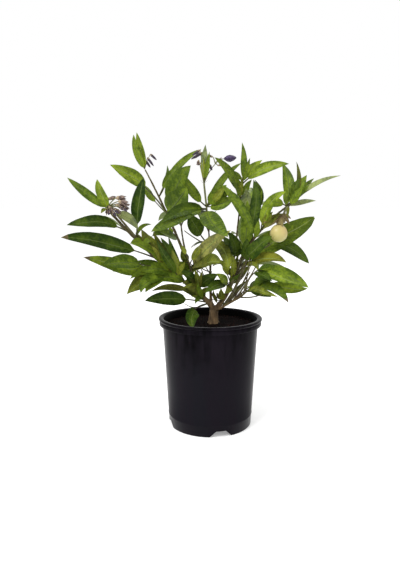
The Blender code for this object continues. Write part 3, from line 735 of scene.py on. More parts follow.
class Growth(Tree):
    """A Geometry Nodes tree, and how it is run on a source object."""

    def __init__(self, name: str) -> None:
        """Starts an empty tree with its geometry input and its material."""
        super().__init__(name, "GeometryNodeTree")
        self.source = self.take("Source", "Geometry")
        self.look = self.take("Look", "Material")

    def named(self, name: str, kind: str = "FLOAT") -> bpy.types.NodeSocket:
        """Reads a named attribute."""
        return self.put("GeometryNodeInputNamedAttribute", {"Name": name}, data_type=kind).outputs["Attribute"]

    def close(self, shape: bpy.types.NodeSocket, smooth: bool = True) -> None:
        """Realizes, shades and dresses the shape, and puts it out.

        Args:
            shape: The geometry.
            smooth: Whether its faces are shaded smooth.
        """
        real = self.put("GeometryNodeRealizeInstances", {0: shape})
        shaded = self.put("GeometryNodeSetShadeSmooth", {0: real.outputs[0], "Shade Smooth": smooth})
        dressed = self.put("GeometryNodeSetMaterial", {0: shaded.outputs[0], "Material": self.look})
        self.give("Result", "Geometry", dressed.outputs[0])

    def run(self, source: bpy.types.Object, name: str, **values: Any) -> bpy.types.Object:
        """Runs the tree on an object.

        Args:
            source: What the tree starts from. It is kept.
            name: The new piece's name.
            **values: The inputs, by their names with underscores for spaces.

        Returns:
            The result as a plain mesh piece.
        """
        modifier = source.modifiers.new(self.tree.name, "NODES")
        modifier.node_group = self.tree
        keys = {item.name: item.identifier for item in self.tree.interface.items_tree if item.in_out == "INPUT"}
        for label, value in values.items():
            modifier[keys[label.replace("_", " ")]] = value
        graph = bpy.context.evaluated_depsgraph_get()
        data = bpy.data.meshes.new_from_object(source.evaluated_get(graph))
        source.modifiers.remove(modifier)
        for helper in ("half_width", "side", "lift", "reach", "across", "radius"):
            if helper in data.attributes:
                data.attributes.remove(data.attributes[helper])
        return linked(name, data)


class BladeGrowth(Growth):
    """Sweeps a folded, rippled leaf sheet along each spine."""

    STRIPS = 4
    EDGE_FADE = 0.0015
    RIPPLE_SCALE = 95.0

    def __init__(self) -> None:
        """Builds the tree."""
        super().__init__("leaf_blades")
        fold = self.take("Fold", "Float", 0.55)
        curl = self.take("Curl", "Float", 0.22)
        ripple = self.take("Ripple", "Float", 0.22)
        thickness = self.take("Thickness", "Float", 0.15 * MM)
        turned_over = self.take("Turned Over", "Bool", False)
        curve = self.put("GeometryNodeMeshToCurve", {0: self.source}).outputs[0]
        side = self.named("side", "FLOAT_VECTOR")
        curve = self.put("GeometryNodeSetCurveNormal", {0: curve, "Normal": side}, mode="FREE").outputs[0]
        width = self.put("GeometryNodeCurvePrimitiveLine", {"Start": (-1, 0, 0), "End": (1, 0, 0)}).outputs[0]
        width = self.put("GeometryNodeResampleCurve", {0: width, "Count": self.STRIPS + 1}).outputs[0]
        share = self.put("GeometryNodeSplineParameter").outputs["Factor"]
        place = self.maths("MULTIPLY_ADD", share, 2.0, -1.0)
        width = self.put("GeometryNodeStoreNamedAttribute", {0: width, "Name": "across", "Value": place}).outputs[0]
        sheet = self.put("GeometryNodeCurveToMesh", {
            "Curve": curve, "Profile Curve": width, "Scale": self.named("half_width"),
        }).outputs[0]
        across, half = self.named("across"), self.named("half_width")
        off = self.maths("ABSOLUTE", across)
        square = self.maths("MULTIPLY", across, across)
        waves = self.put("ShaderNodeTexNoise", {"Scale": self.RIPPLE_SCALE, "Detail": 1.0}).outputs[0]
        wave = self.maths("MULTIPLY", self.maths("SUBTRACT", waves, 0.5), self.maths("MULTIPLY", off, ripple))
        rise = self.maths("MULTIPLY", off, fold)
        drop = self.maths("MULTIPLY", square, curl)
        height = self.maths("MULTIPLY", self.maths("ADD", self.maths("SUBTRACT", rise, drop), wave), half)
        fade = self.maths("MINIMUM", self.maths("DIVIDE", half, self.EDGE_FADE), 1.0)
        skin = self.maths("MULTIPLY", self.maths("MULTIPLY", self.maths("SUBTRACT", 1.0, square), fade), thickness)
        lift = self.put("ShaderNodeVectorMath", {
            0: self.named("lift", "FLOAT_VECTOR"), "Scale": self.maths("ADD", height, skin),
        }, operation="SCALE").outputs[0]
        sheet = self.put("GeometryNodeSetPosition", {0: sheet, "Offset": lift}).outputs[0]
        sheet = self.put("GeometryNodeMergeByDistance", {0: sheet, "Distance": 0.001 * MM}).outputs[0]
        map_place = self.put("ShaderNodeCombineXYZ", {
            0: self.maths("MULTIPLY", across, half), 1: self.named("reach"),
        }).outputs[0]
        sheet = self.put("GeometryNodeStoreNamedAttribute", {0: sheet, "Name": "leaf_map", "Value": map_place},
                         data_type="FLOAT2", domain="CORNER").outputs[0]
        flipped = self.put("GeometryNodeFlipFaces", {0: sheet}).outputs[0]
        chosen = self.put("GeometryNodeSwitch", {"Switch": turned_over, "False": sheet, "True": flipped},
                          input_type="GEOMETRY").outputs[0]
        self.close(chosen)


class StemGrowth(Growth):
    """Sweeps a round stem along each spine, as thick as its radius says."""

    def __init__(self) -> None:
        """Builds the tree."""
        super().__init__("round_stems")
        sides = self.take("Sides", "Int", 6)
        curve = self.put("GeometryNodeMeshToCurve", {0: self.source}).outputs[0]
        circle = self.put("GeometryNodeCurvePrimitiveCircle", {"Resolution": sides, "Radius": 1.0}).outputs[0]
        stem = self.put("GeometryNodeCurveToMesh", {
            "Curve": curve, "Profile Curve": circle, "Scale": self.named("radius"), "Fill Caps": True,
        }).outputs[0]
        self.close(stem)


class BitGrowth(Growth):
    """Strews small tapered bits over a surface, upright on it or tumbled."""

    def __init__(self) -> None:
        """Builds the tree."""
        super().__init__("strewn_bits")
        density = self.take("Density", "Float", 20000.0)
        seed = self.take("Seed", "Int", 1)
        upward = self.take("Upward", "Float", -1.1)
        sides = self.take("Sides", "Int", 5)
        foot = self.take("Foot", "Float", 0.5 * MM)
        tip = self.take("Tip", "Float", 0.3 * MM)
        length = self.take("Length", "Float", 2 * MM)
        smallest = self.take("Smallest", "Vector", (0.5, 0.5, 0.5))
        largest = self.take("Largest", "Vector", (1.2, 1.2, 1.2))
        tumble = self.take("Tumble", "Vector", (0.0, 0.0, math.pi))
        normal = self.put("GeometryNodeInputNormal").outputs[0]
        up = self.put("ShaderNodeSeparateXYZ", {0: normal}).outputs[2]
        points = self.put("GeometryNodeDistributePointsOnFaces", {
            "Mesh": self.source, "Selection": self.maths("GREATER_THAN", up, upward),
            "Density": density, "Seed": seed,
        })
        bit = self.put("GeometryNodeMeshCone", {
            "Vertices": sides, "Radius Top": tip, "Radius Bottom": foot, "Depth": length,
        }).outputs[0]
        back = self.put("ShaderNodeVectorMath", {0: tumble, "Scale": -1.0}, operation="SCALE").outputs[0]
        turn = self.put("FunctionNodeRandomValue", {0: back, 1: tumble, "Seed": seed},
                        data_type="FLOAT_VECTOR").outputs[0]
        turn = self.put("FunctionNodeEulerToRotation", {0: turn}).outputs[0]
        turn = self.put("FunctionNodeRotateRotation", {0: points.outputs["Rotation"], 1: turn},
                        rotation_space="LOCAL").outputs[0]
        size = self.put("FunctionNodeRandomValue", {0: smallest, 1: largest, "Seed": self.maths("ADD", seed, 1.0)},
                        data_type="FLOAT_VECTOR").outputs[0]
        bits = self.put("GeometryNodeInstanceOnPoints", {
            "Points": points.outputs["Points"], "Instance": bit, "Rotation": turn, "Scale": size,
        }).outputs[0]
        self.close(bits, smooth=False)


class ReliefGrowth(Growth):
    """Raises bark relief on a surface: long ridges and fine grain."""

    def __init__(self) -> None:
        """Builds the tree."""
        super().__init__("bark_relief")
        depth = self.take("Depth", "Float", 0.3 * MM)
        scale = self.take("Scale", "Float", 300.0)
        stretch = self.take("Stretch", "Vector", (1.0, 1.0, 0.3))
        place = self.put("GeometryNodeInputPosition").outputs[0]
        place = self.put("ShaderNodeVectorMath", {0: place, 1: stretch}, operation="MULTIPLY").outputs[0]
        ridges = self.put("ShaderNodeTexNoise", {"Vector": place, "Scale": scale, "Detail": 3.0}).outputs[0]
        amount = self.maths("MULTIPLY", self.maths("SUBTRACT", ridges, 0.5), depth)
        normal = self.put("GeometryNodeInputNormal").outputs[0]
        offset = self.put("ShaderNodeVectorMath", {0: normal, "Scale": amount}, operation="SCALE").outputs[0]
        shape = self.put("GeometryNodeSetPosition", {0: self.source, "Offset": offset}).outputs[0]
        self.close(shape)


class Mottle(Tree):
    """Two scales of noise that vary a colour and a roughness, and give a bump height."""

    def __init__(self) -> None:
        """Builds the group."""
        super().__init__("mottle", "ShaderNodeTree")
        colour = self.take("Colour", "Color")
        second = self.take("Second", "Color")
        scale = self.take("Scale", "Float", 60.0)
        spread = self.take("Spread", "Float", 0.5)
        roughness = self.take("Roughness", "Float", 0.5)
        swing = self.take("Swing", "Float", 0.1)
        stretch = self.take("Stretch", "Vector", (1, 1, 1))
        push = self.take("Push", "Float", 0.0)
        grain = self.take("Grain", "Float", 0.0)
        place = self.put("ShaderNodeTexCoord").outputs["Object"]
        place = self.put("ShaderNodeVectorMath", {0: place, 1: stretch}, operation="MULTIPLY").outputs[0]
        coarse = self.put("ShaderNodeTexNoise", {"Vector": place, "Scale": scale, "Detail": 3.0}).outputs["Fac"]
        fine = self.put("ShaderNodeTexNoise", {
            "Vector": place, "Scale": self.maths("MULTIPLY", scale, 4.4), "Detail": 4.0,
        }).outputs["Fac"]
        sharp = self.put("ShaderNodeMapRange", {"Value": coarse, "From Min": 0.35, "From Max": 0.65}).outputs[0]
        speck = self.maths("SUBTRACT", fine, 0.5)
        broad = self.maths("MULTIPLY_ADD", sharp, spread, push)
        mix = self.put("ShaderNodeMix", {
            "Factor": self.maths("MULTIPLY_ADD", speck, grain, broad), "A": colour, "B": second,
        }, data_type="RGBA")
        rough = self.maths("MULTIPLY_ADD", speck, swing, roughness)
        self.give("Result", "Color", mix.outputs["Result"])
        self.give("Rough", "Float", rough)
        self.give("Height", "Float", fine)


class LevelBlend(Tree):
    """Goes from one colour to another between two heights, along a wavy line."""

    def __init__(self) -> None:
        """Builds the group."""
        super().__init__("level_blend", "ShaderNodeTree")
        lower = self.take("Lower", "Color")
        upper = self.take("Upper", "Color")
        low = self.take("Low", "Float", 0.0)
        high = self.take("High", "Float", 1.0)
        place = self.put("ShaderNodeTexCoord").outputs["Object"]
        height = self.put("ShaderNodeSeparateXYZ", {0: place}).outputs[2]
        waves = self.put("ShaderNodeTexNoise", {"Vector": place, "Scale": 90.0, "Detail": 2.0}).outputs["Fac"]
        span = self.maths("SUBTRACT", high, low)
        wavy = self.maths("MULTIPLY_ADD", self.maths("SUBTRACT", waves, 0.5), span, height)
        share = self.put("ShaderNodeMapRange", {"Value": wavy, "From Min": low, "From Max": high}).outputs[0]
        mix = self.put("ShaderNodeMix", {"Factor": share, "A": lower, "B": upper}, data_type="RGBA")
        self.give("Result", "Color", mix.outputs["Result"])


class Veins(Tree):
    """The side veins and the darker margins of a leaf, from its map of distances off the rib and along it."""

    SPACING = 0.0065
    PALE_REACH = 0.0015
    DARK_REACH = 0.0065

    def __init__(self) -> None:
        """Builds the group."""
        super().__init__("veins", "ShaderNodeTree")
        spot = self.put("ShaderNodeUVMap", uv_map="leaf_map").outputs[0]
        parts = self.put("ShaderNodeSeparateXYZ", {0: spot})
        off = self.maths("ABSOLUTE", parts.outputs[0])
        slanted = self.maths("MULTIPLY_ADD", off, -1.1, parts.outputs[1])
        step = self.maths("FRACT", self.maths("DIVIDE", slanted, self.SPACING))
        apart = self.maths("ABSOLUTE", self.maths("MULTIPLY_ADD", step, 2.0, -1.0))
        self.give("Height", "Float", self.maths("SUBTRACT", 1.0, self.maths("POWER", apart, 4.0)))
        self.give("Line", "Float", self.maths("MULTIPLY", self.maths("POWER", apart, 7.0), 0.45))
        margin = self.put("ShaderNodeMapRange", {
            "Value": off, "From Min": self.PALE_REACH, "From Max": self.DARK_REACH, "To Min": 0.24, "To Max": -0.36,
        }).outputs[0]
        self.give("Push", "Float", margin)


class Effects:
    """The shader groups that the finishes share."""

    def __init__(self) -> None:
        """Builds each group once."""
        self.mottle = Mottle()
        self.level = LevelBlend()
        self.veins = Veins()


@dataclass(frozen=True)
class Finish:
    """A Principled finish whose colour, roughness and bump vary by the shared groups."""

    name: str
    colour: Colour
    second: Colour
    roughness: float = 0.5
    swing: float = 0.15
    scale: float = 60.0
    spread: float = 0.6
    grain: float = 0.5
    stretch: Colour = (1.0, 1.0, 1.0)
    bump: float = 0.15
    bump_depth: float = 0.4 * MM
    specular: float = 0.3
    sheen: float = 0.0
    coat: float = 0.0
    lower: Optional[Colour] = None
    levels: tuple[float, float] = (0.0, 1.0)
    veined: bool = False

    def build(self, effects: Effects) -> bpy.types.Material:
        """Makes the material.

        Args:
            effects: The shared groups.

        Returns:
            The material.
        """
        look = bpy.data.materials.new(self.name)
        look.use_nodes = True
        nodes = Nodes(look.node_tree)
        shader = look.node_tree.nodes["Principled BSDF"]
        group = nodes.put("ShaderNodeGroup", node_tree=effects.mottle.tree)
        for name, value in (("Colour", (*self.colour, 1)), ("Second", (*self.second, 1)), ("Scale", self.scale),
                            ("Spread", self.spread), ("Grain", self.grain), ("Roughness", self.roughness),
                            ("Swing", self.swing), ("Stretch", self.stretch)):
            group.inputs[name].default_value = value
        if self.lower is not None:
            blend = nodes.put("ShaderNodeGroup", node_tree=effects.level.tree)
            for name, value in (("Lower", (*self.lower, 1)), ("Upper", (*self.colour, 1)),
                                ("Low", self.levels[0]), ("High", self.levels[1])):
                blend.inputs[name].default_value = value
            look.node_tree.links.new(blend.outputs["Result"], group.inputs["Colour"])
        height, tone = group.outputs["Height"], group.outputs["Result"]
        if self.veined:
            veins = nodes.put("ShaderNodeGroup", node_tree=effects.veins.tree)
            height = nodes.maths("MULTIPLY_ADD", height, 0.3, veins.outputs["Height"])
            tone = nodes.put("ShaderNodeMix", {
                "Factor": veins.outputs["Line"], "A": tone, "B": (*(part * 1.8 + 0.01 for part in self.colour), 1),
            }, data_type="RGBA").outputs["Result"]
            shade = nodes.put("ShaderNodeAttribute", attribute_name="shade").outputs["Fac"]
            look.node_tree.links.new(nodes.maths("ADD", shade, veins.outputs["Push"]), group.inputs["Push"])
        bump = nodes.put("ShaderNodeBump", {
            "Strength": self.bump, "Distance": self.bump_depth, "Height": height,
        })
        link = look.node_tree.links.new
        link(tone, shader.inputs["Base Color"])
        link(group.outputs["Rough"], shader.inputs["Roughness"])
        link(bump.outputs["Normal"], shader.inputs["Normal"])
        shader.inputs["Specular IOR Level"].default_value = self.specular
        shader.inputs["Sheen Weight"].default_value = self.sheen
        shader.inputs["Sheen Roughness"].default_value = 0.3
        shader.inputs["Coat Weight"].default_value = self.coat
        look.diffuse_color = (*self.colour, 1)
        return look


# The pot's colour holds painted light. The stretched, lighter violet streaks are painted reflection streaks. The
# near-black colour above 128 mm, over the lighter colour below 80 mm, is painted shade under the rim and the crown.
PLASTIC = Finish("pot_plastic", (0.0002, 0.0002, 0.0003), (0.0090, 0.0070, 0.0105), 0.32, 0.25, 40, 1.0,
                 1.5, (1, 1, 0.16), 0.12, 0.3 * MM, 0.022, sheen=0.28, lower=(0.0080, 0.0076, 0.0106),
                 levels=(0.080, 0.128))
# Near-black finish of the skin inside the pot's mouth: painted shade on the inner wall.
INSIDE_SHADE = Finish("pot_inside_shade", (0.0004, 0.0004, 0.0004), (0.0024, 0.0020, 0.0020), 0.6, 0.2, 60, 0.8, specular=0.02)
PEAT = Finish("peat", (0.0024, 0.0017, 0.0018), (0.0090, 0.0048, 0.0042), 0.95, 0.1, 140, 0.7, bump=0.8,
              bump_depth=1.5 * MM, specular=0.03)
CHIPS = Finish("peat_chips", (0.0450, 0.0200, 0.0160), (0.0055, 0.0034, 0.0030), 0.9, 0.1, 300, 0.9,
               specular=0.05)
BARK = Finish("bark", (0.104, 0.092, 0.032), (0.048, 0.030, 0.016), 0.65, 0.2, 120, 0.8, 0.8, (1, 1, 0.3), 0.5,
              0.5 * MM, 0.2, lower=(0.335, 0.218, 0.106), levels=(0.160, 0.190))
WARTS = Finish("bark_warts", (0.135, 0.105, 0.050), (0.080, 0.050, 0.026), 0.7, 0.2, 200, 0.8, specular=0.2)
TWIG = Finish("twig_bark", (0.128, 0.118, 0.046), (0.048, 0.034, 0.022), 0.5, 0.2, 90, 0.9, 0.9, specular=0.2)
SHOOT = Finish("green_shoot", (0.190, 0.210, 0.075), (0.120, 0.110, 0.060), 0.5, 0.2, 90, 0.8, specular=0.25)
STALK = Finish("leaf_stalk", (0.085, 0.095, 0.024), (0.045, 0.030, 0.022), 0.5, 0.2, 60, 0.9, specular=0.2)
# The fruit's lower half is darker and greener. This is partly the skin's own green tint and partly painted shade on
# its underside.
FRUIT = Finish("fruit_skin", (0.59, 0.445, 0.195), (0.46, 0.42, 0.14), 0.38, 0.1, 46, 0.85, 0.3, (1, 1, 0.25),
               0.05, 0.3 * MM, 0.3, coat=0.1, lower=(0.38, 0.38, 0.13), levels=(0.250, 0.266))
CALYX = Finish("calyx", (0.265, 0.215, 0.080), (0.105, 0.070, 0.032), 0.7, 0.1, 200, 0.8)
PETAL = Finish("petal", (0.048, 0.031, 0.080), (0.120, 0.085, 0.170), 0.6, 0.1, 300, 0.6, sheen=0.15)
STRIPE = Finish("petal_stripe", (0.13, 0.10, 0.19), (0.08, 0.06, 0.13), 0.6, 0.1, 300, 0.5)
BUD = Finish("bud", (0.058, 0.042, 0.060), (0.020, 0.013, 0.023), 0.6, 0.2, 300, 0.8)
DRY = Finish("dry_petal", (0.260, 0.190, 0.155), (0.105, 0.074, 0.066), 0.85, 0.1, 260, 0.9, 0.9)
TAN = Finish("dry_calyx", (0.400, 0.320, 0.200), (0.220, 0.150, 0.100), 0.85, 0.1, 260, 0.8)
SCORCH = Finish("scorched_tip", (0.130, 0.105, 0.040), (0.070, 0.050, 0.022), 0.7, 0.1, 300, 0.7)


@dataclass
class Pot:
    """The turned nursery pot: two-step rim with a hollow skirt, thin wall, recessed floor and notches."""

    rim_radius: float = 70.0
    nick_radius: float = 68.2
    bead_radius: float = 69.0
    mouth_radius: float = 65.0
    foot_radius: float = 56.5
    height: float = 148.0
    skirt: float = 10.0
    wall: float = 1.6
    notch_turn: float = -75.5
    notch_count: int = 4
    sides: int = 144

    def wall_radius(self, height: float) -> float:
        """The outer radius of the wall at a height."""
        return self.foot_radius + (self.mouth_radius - self.foot_radius) * height / self.height

    def profile(self) -> list[tuple[float, float]]:
        """The section in millimetres, from the axis below, round the rim and back to the axis inside."""
        top, wall, at = self.height, self.wall, self.wall_radius
        inner_foot = at(0) - wall
        points = [(17.6, 0.0), (18.0, 0.4), (20.0, 9.0), (inner_foot - 0.3, 9.0), (inner_foot, 0.6)]
        points += [(inner_foot + 0.4, 0.0), (at(0) - 0.5, 0.0), (at(0), 0.6), (at(14), 14.0)]
        points += [(at(14.6) + 0.35, 14.6), (at(16) + 0.35, 16.0), (at(16.6), 16.6)]
        points += [(at(height), float(height)) for height in (50, 90, 130)]
        points += [(at(top - wall), top - wall - 0.4), (self.nick_radius - 1.4, top - wall - 0.2)]
        points += [(self.bead_radius - 1.7, top - self.skirt + 0.4), (self.bead_radius - 1.2, top - self.skirt)]
        points += [(self.bead_radius - 0.5, top - self.skirt), (self.bead_radius - 0.1, top - self.skirt + 0.5)]
        points += [(self.bead_radius, top - self.skirt + 1.6), (self.bead_radius - 0.05, top - 5.6)]
        points += [(self.bead_radius - 0.4, top - 5.0), (self.nick_radius, top - 4.7), (self.nick_radius, top - 4.2)]
        points += self.lip(top)
        points += [(self.mouth_radius + 0.6, top - 0.1), (self.mouth_radius - 0.6, top - 0.5)]
        points += [(at(top) - wall, top - 1.8)]
        points += [(at(height) - wall, float(height)) for height in (130, 60, 11)]
        points += [(20.0, 10.6), (18.0, 1.6)]
        return points

    def lip(self, top: float) -> list[tuple[float, float]]:
        """The rolled lip's round section, from its foot at the nick over its top."""
        roll, steps = 1.9, 9
        points = []
        for step in range(steps):
            angle = math.radians(-75 + 165 * step / (steps - 1))
            points.append((self.rim_radius - roll + roll * math.cos(angle), top - roll + roll * math.sin(angle)))
        return points

    def notch(self, heading: float) -> bpy.types.Object:
        """Makes the cutter of one drainage notch.

        Args:
            heading: Which way the notch faces, in degrees.

        Returns:
            The cutter object.
        """
        solid = bmesh.new()
        section = ((-17.1, -2), (17.1, -2), (6.5, 8), (-6.5, 8))
        near = [solid.verts.new((42.5 * MM, across * MM, height * MM)) for across, height in section]
        far = [solid.verts.new((62.5 * MM, across * MM, height * MM)) for across, height in section]
        solid.faces.new(near)
        solid.faces.new(tuple(reversed(far)))
        for step in range(4):
            after = (step + 1) % 4
            solid.faces.new((near[after], near[step], far[step], far[after]))
        bmesh.ops.recalc_face_normals(solid, faces=solid.faces)
        turn = Matrix.Rotation(math.radians(heading), 3, "Z")
        bmesh.ops.rotate(solid, verts=solid.verts, cent=(0, 0, 0), matrix=turn)
        data = bpy.data.meshes.new("notch")
        solid.to_mesh(data)
        solid.free()
        return linked("notch", data)

    def build(self, effects: Effects) -> None:
        """Makes and dresses the pot."""
        shape = Mesh()
        shape.tube([turned(radius * MM, height * MM, self.sides) for radius, height in self.profile()])
        piece = shape.build("pot_shell")
        step = 360 / self.notch_count
        cutters = [self.notch(self.notch_turn + step * index) for index in range(self.notch_count)]
        for cutter in cutters:
            cut = piece.modifiers.new("notch", "BOOLEAN")
            cut.operation = "DIFFERENCE"
            cut.object = cutter
        graph = bpy.context.evaluated_depsgraph_get()
        data = bpy.data.meshes.new_from_object(piece.evaluated_get(graph))
        piece.modifiers.clear()
        piece.data = data
        for cutter in cutters:
            bpy.data.objects.remove(cutter)
        data.shade_smooth()
        data.set_sharp_from_angle(angle=math.radians(38))
        finished(piece, PLASTIC.build(effects), ("pot",))
        self.inner_shade_skin(effects)

    def inner_shade_skin(self, effects: Effects) -> None:
        """Makes and dresses the near-black skin on the inner wall above the peat: a dark sheet of painted shade in
        the pot's mouth.
        """
        low, high, thick = 119.0, self.height - 2.4, 0.15
        near, far = self.wall_radius(low) - self.wall, self.wall_radius(high) - self.wall
        shape = Mesh()
        section = ((near, low), (far, high), (far - thick, high), (near - thick, low), (near, low))
        rings = [turned(radius * MM, height * MM, self.sides) for radius, height in section]
        shape.band(rings)
        finished(shape.build("pot_inner_shade_skin"), INSIDE_SHADE.build(effects))


@dataclass
class Peat:
    """The uneven peat with its loose chips."""

    level: float = 138.0
    edge: float = 62.6
    base: float = 120.0
    rings: int = 40
    sides: int = 120
    mound: float = 1.6
    mound_reach: float = 13.0
    seed: int = 11

    def height_at(self, x: float, y: float) -> float:
        """The height of the peat's top in metres, at a place in metres."""
        coarse = noise.noise(Vector((x, y, 0)) * 55) * 1.3 + noise.noise(Vector((x, y, 3)) * 190) * 0.8
        fine = noise.noise(Vector((x, y, 7)) * 520) * 0.45
        apart = (x - TRUNK_FOOT.x) ** 2 + y * y
        mound = self.mound * math.exp(-apart / (self.mound_reach * MM) ** 2)
        return (self.level + coarse + fine + mound) * MM

    def build(self, effects: Effects, bits: BitGrowth) -> None:
        """Makes and dresses the peat and its chips.

        Args:
            effects: The shared shader groups.
            bits: The tree that strews the chips.
        """
        shape = Mesh()
        rings = [turned(self.edge * MM, self.base * MM, self.sides)]
        for index in range(self.rings):
            ring = turned(self.edge * MM * (1 - index / self.rings), 0.0, self.sides)
            rings.append([Vector((point.x, point.y, self.height_at(point.x, point.y))) for point in ring])
        shape.tube(rings)
        top = shape.build("peat_top")
        look = CHIPS.build(effects)
        chips = bits.run(top, "peat_chips", Look=look, Density=38000.0, Seed=self.seed, Upward=0.55, Sides=5,
                         Foot=0.45 * MM, Tip=0.3 * MM, Length=2.2 * MM, Smallest=(0.6, 0.3, 0.3),
                         Largest=(1.5, 1.0, 1.2), Tumble=(1.9, 0.6, math.pi))
        finished(top, PEAT.build(effects), ("soil",))
        finished(chips, look)


@dataclass
class Wood:
    """The trunk and boughs as one barked body, with its warts, and the thin twigs."""

    trunk_radii: tuple[float, ...] = (8.6, 7.2, 6.6, 6.2, 6.0, 4.6)
    ridges: int = 5
    voxel: float = 0.62
    feet: dict[str, tuple[Vector, Run]] = field(default_factory=dict)

    def __post_init__(self) -> None:
        """Works out where each limb and twig starts."""
        self.feet["trunk"] = (TRUNK_FOOT, TRUNK_RUN)
        for limb in LIMBS + TWIGS:
            self.feet[limb.name] = (self.point(limb.parent, limb.along), limb.run)

    def point(self, parent: str, along: float) -> Vector:
        """The point a share of the way along a limb."""
        foot, run = self.feet[parent]
        return run.point(foot, along)

    def rings(self, name: str, count: int, sides: int, radius_at: Callable[[float, float], float],
              swerve: float = 0.0, swerve_at: float = 0.0) -> list[list[Vector]]:
        """Lays rings along a limb.

        Args:
            name: The limb.
            count: How many rings.
            sides: Points in each ring.
            radius_at: Gives the radius in millimetres at a share and an angle.
            swerve: How far the limb swerves to +X, in millimetres.
            swerve_at: The share of its length where it swerves the most.

        Returns:
            The rings.
        """
        foot, run = self.feet[name]
        side = direction(run.heading + 90, 0)
        found = []
        for index in range(count):
            share = index / (count - 1)
            tangent = run.tangent(foot, share)
            across = (side - tangent * side.dot(tangent)).normalized()
            up = tangent.cross(across)
            aside = Vector((swerve * MM * math.exp(-(((share - swerve_at) / 0.28) ** 2)), 0, 0))
            ring = []
            for step in range(sides):
                angle = math.tau * step / sides
                outward = across * math.cos(angle) + up * math.sin(angle)
                ring.append(run.point(foot, share) + aside + outward * radius_at(share, angle) * MM)
            found.append(ring)
        return found

    def trunk_radius(self, share: float, angle: float) -> float:
        """The trunk's radius in millimetres, with its root flare."""
        spot = share * (len(self.trunk_radii) - 1)
        low = min(int(spot), len(self.trunk_radii) - 2)
        width = self.trunk_radii[low] + (self.trunk_radii[low + 1] - self.trunk_radii[low]) * (spot - low)
        return width * (0.96 + 0.10 * (1 - share) ** 2 * math.cos(self.ridges * angle))

    @staticmethod
    def limb_radius(limb: Limb, share: float, angle: float) -> float:
        """The radius of a limb in millimetres, with its swollen joints.

        Args:
            limb: The limb.
            share: How far along it.
            angle: How far round it, in radians.

        Returns:
            The radius.
        """
        width = limb.foot_width + (limb.tip_width - limb.foot_width) * share ** 0.8
        joints = limb.run.length / 24
        joint = 0.16 * math.exp(-(((share * joints) % 1 - 0.5) / 0.10) ** 2)
        place = Vector((math.cos(angle) * 2, math.sin(angle) * 2, share * 18 + limb.run.heading))
        end = min(1.0, (1 - share) / 0.02 + 0.35)
        return width / 2 * (0.95 + joint + 0.06 * noise.noise(place)) * end

    def build(self, effects: Effects, relief: ReliefGrowth, bits: BitGrowth, stems: StemGrowth) -> None:
        """Makes and dresses the wood.

        Args:
            effects: The shared shader groups.
            relief: The tree that raises the bark.
            bits: The tree that sets the warts.
            stems: The tree that sweeps the twigs.
        """
        shape = Mesh()
        shape.tube(self.rings("trunk", 26, 40, self.trunk_radius))
        for limb in LIMBS:
            def radius_at(share: float, angle: float, limb: Limb = limb) -> float:
                """This limb's radius."""
                return self.limb_radius(limb, share, angle)

            shape.tube(self.rings(limb.name, 72, 14, radius_at, limb.swerve, limb.swerve_at))
        body = shape.build("wood_body")
        join = body.modifiers.new("join", "REMESH")
        join.mode = "VOXEL"
        join.voxel_size = self.voxel * MM
        soften = body.modifiers.new("soften", "SMOOTH")
        soften.factor = 0.6
        soften.iterations = 3
        look = BARK.build(effects)
        wood = relief.run(body, "bark", Look=look, Depth=0.55 * MM, Scale=420.0, Stretch=(1.0, 1.0, 0.3))
        warts = bits.run(wood, "bark_warts", Look=look, Density=26000.0, Seed=5, Upward=-1.1, Sides=6,
                         Foot=0.42 * MM, Tip=0.12 * MM, Length=0.5 * MM, Smallest=(0.5, 0.5, 0.5),
                         Largest=(1.2, 1.2, 1.2), Tumble=(0.2, 0.2, math.pi))
        bpy.data.objects.remove(body)
        finished(wood, look, ("trunk", *(f"bough_{limb.name}" for limb in LIMBS)))
        finished(warts, WARTS.build(effects))
        lines = Spines()
        for twig in TWIGS:
            foot, run = self.feet[twig.name]
            shares = [step / 11 for step in range(12)]
            widths = [twig.foot_width + (twig.tip_width - twig.foot_width) * share for share in shares]
            lines.line([run.point(foot, share) for share in shares], radius=[width / 2 * MM for width in widths])
        swept(lines, stems, "twigs", TWIG.build(effects), sides=7)


def swept(lines: Spines, stems: StemGrowth, name: str, look: bpy.types.Material, sides: int = 6) -> None:
    """Sweeps round stems along lines and finishes the piece.

    Args:
        lines: The centre lines with their radius.
        stems: The tree that sweeps them.
        name: The piece's name.
        look: Its material.
        sides: Points round a stem.
    """
    source = lines.source()
    piece = stems.run(source, name, Look=look, Sides=sides)
    bpy.data.objects.remove(source)
    finished(piece, look)


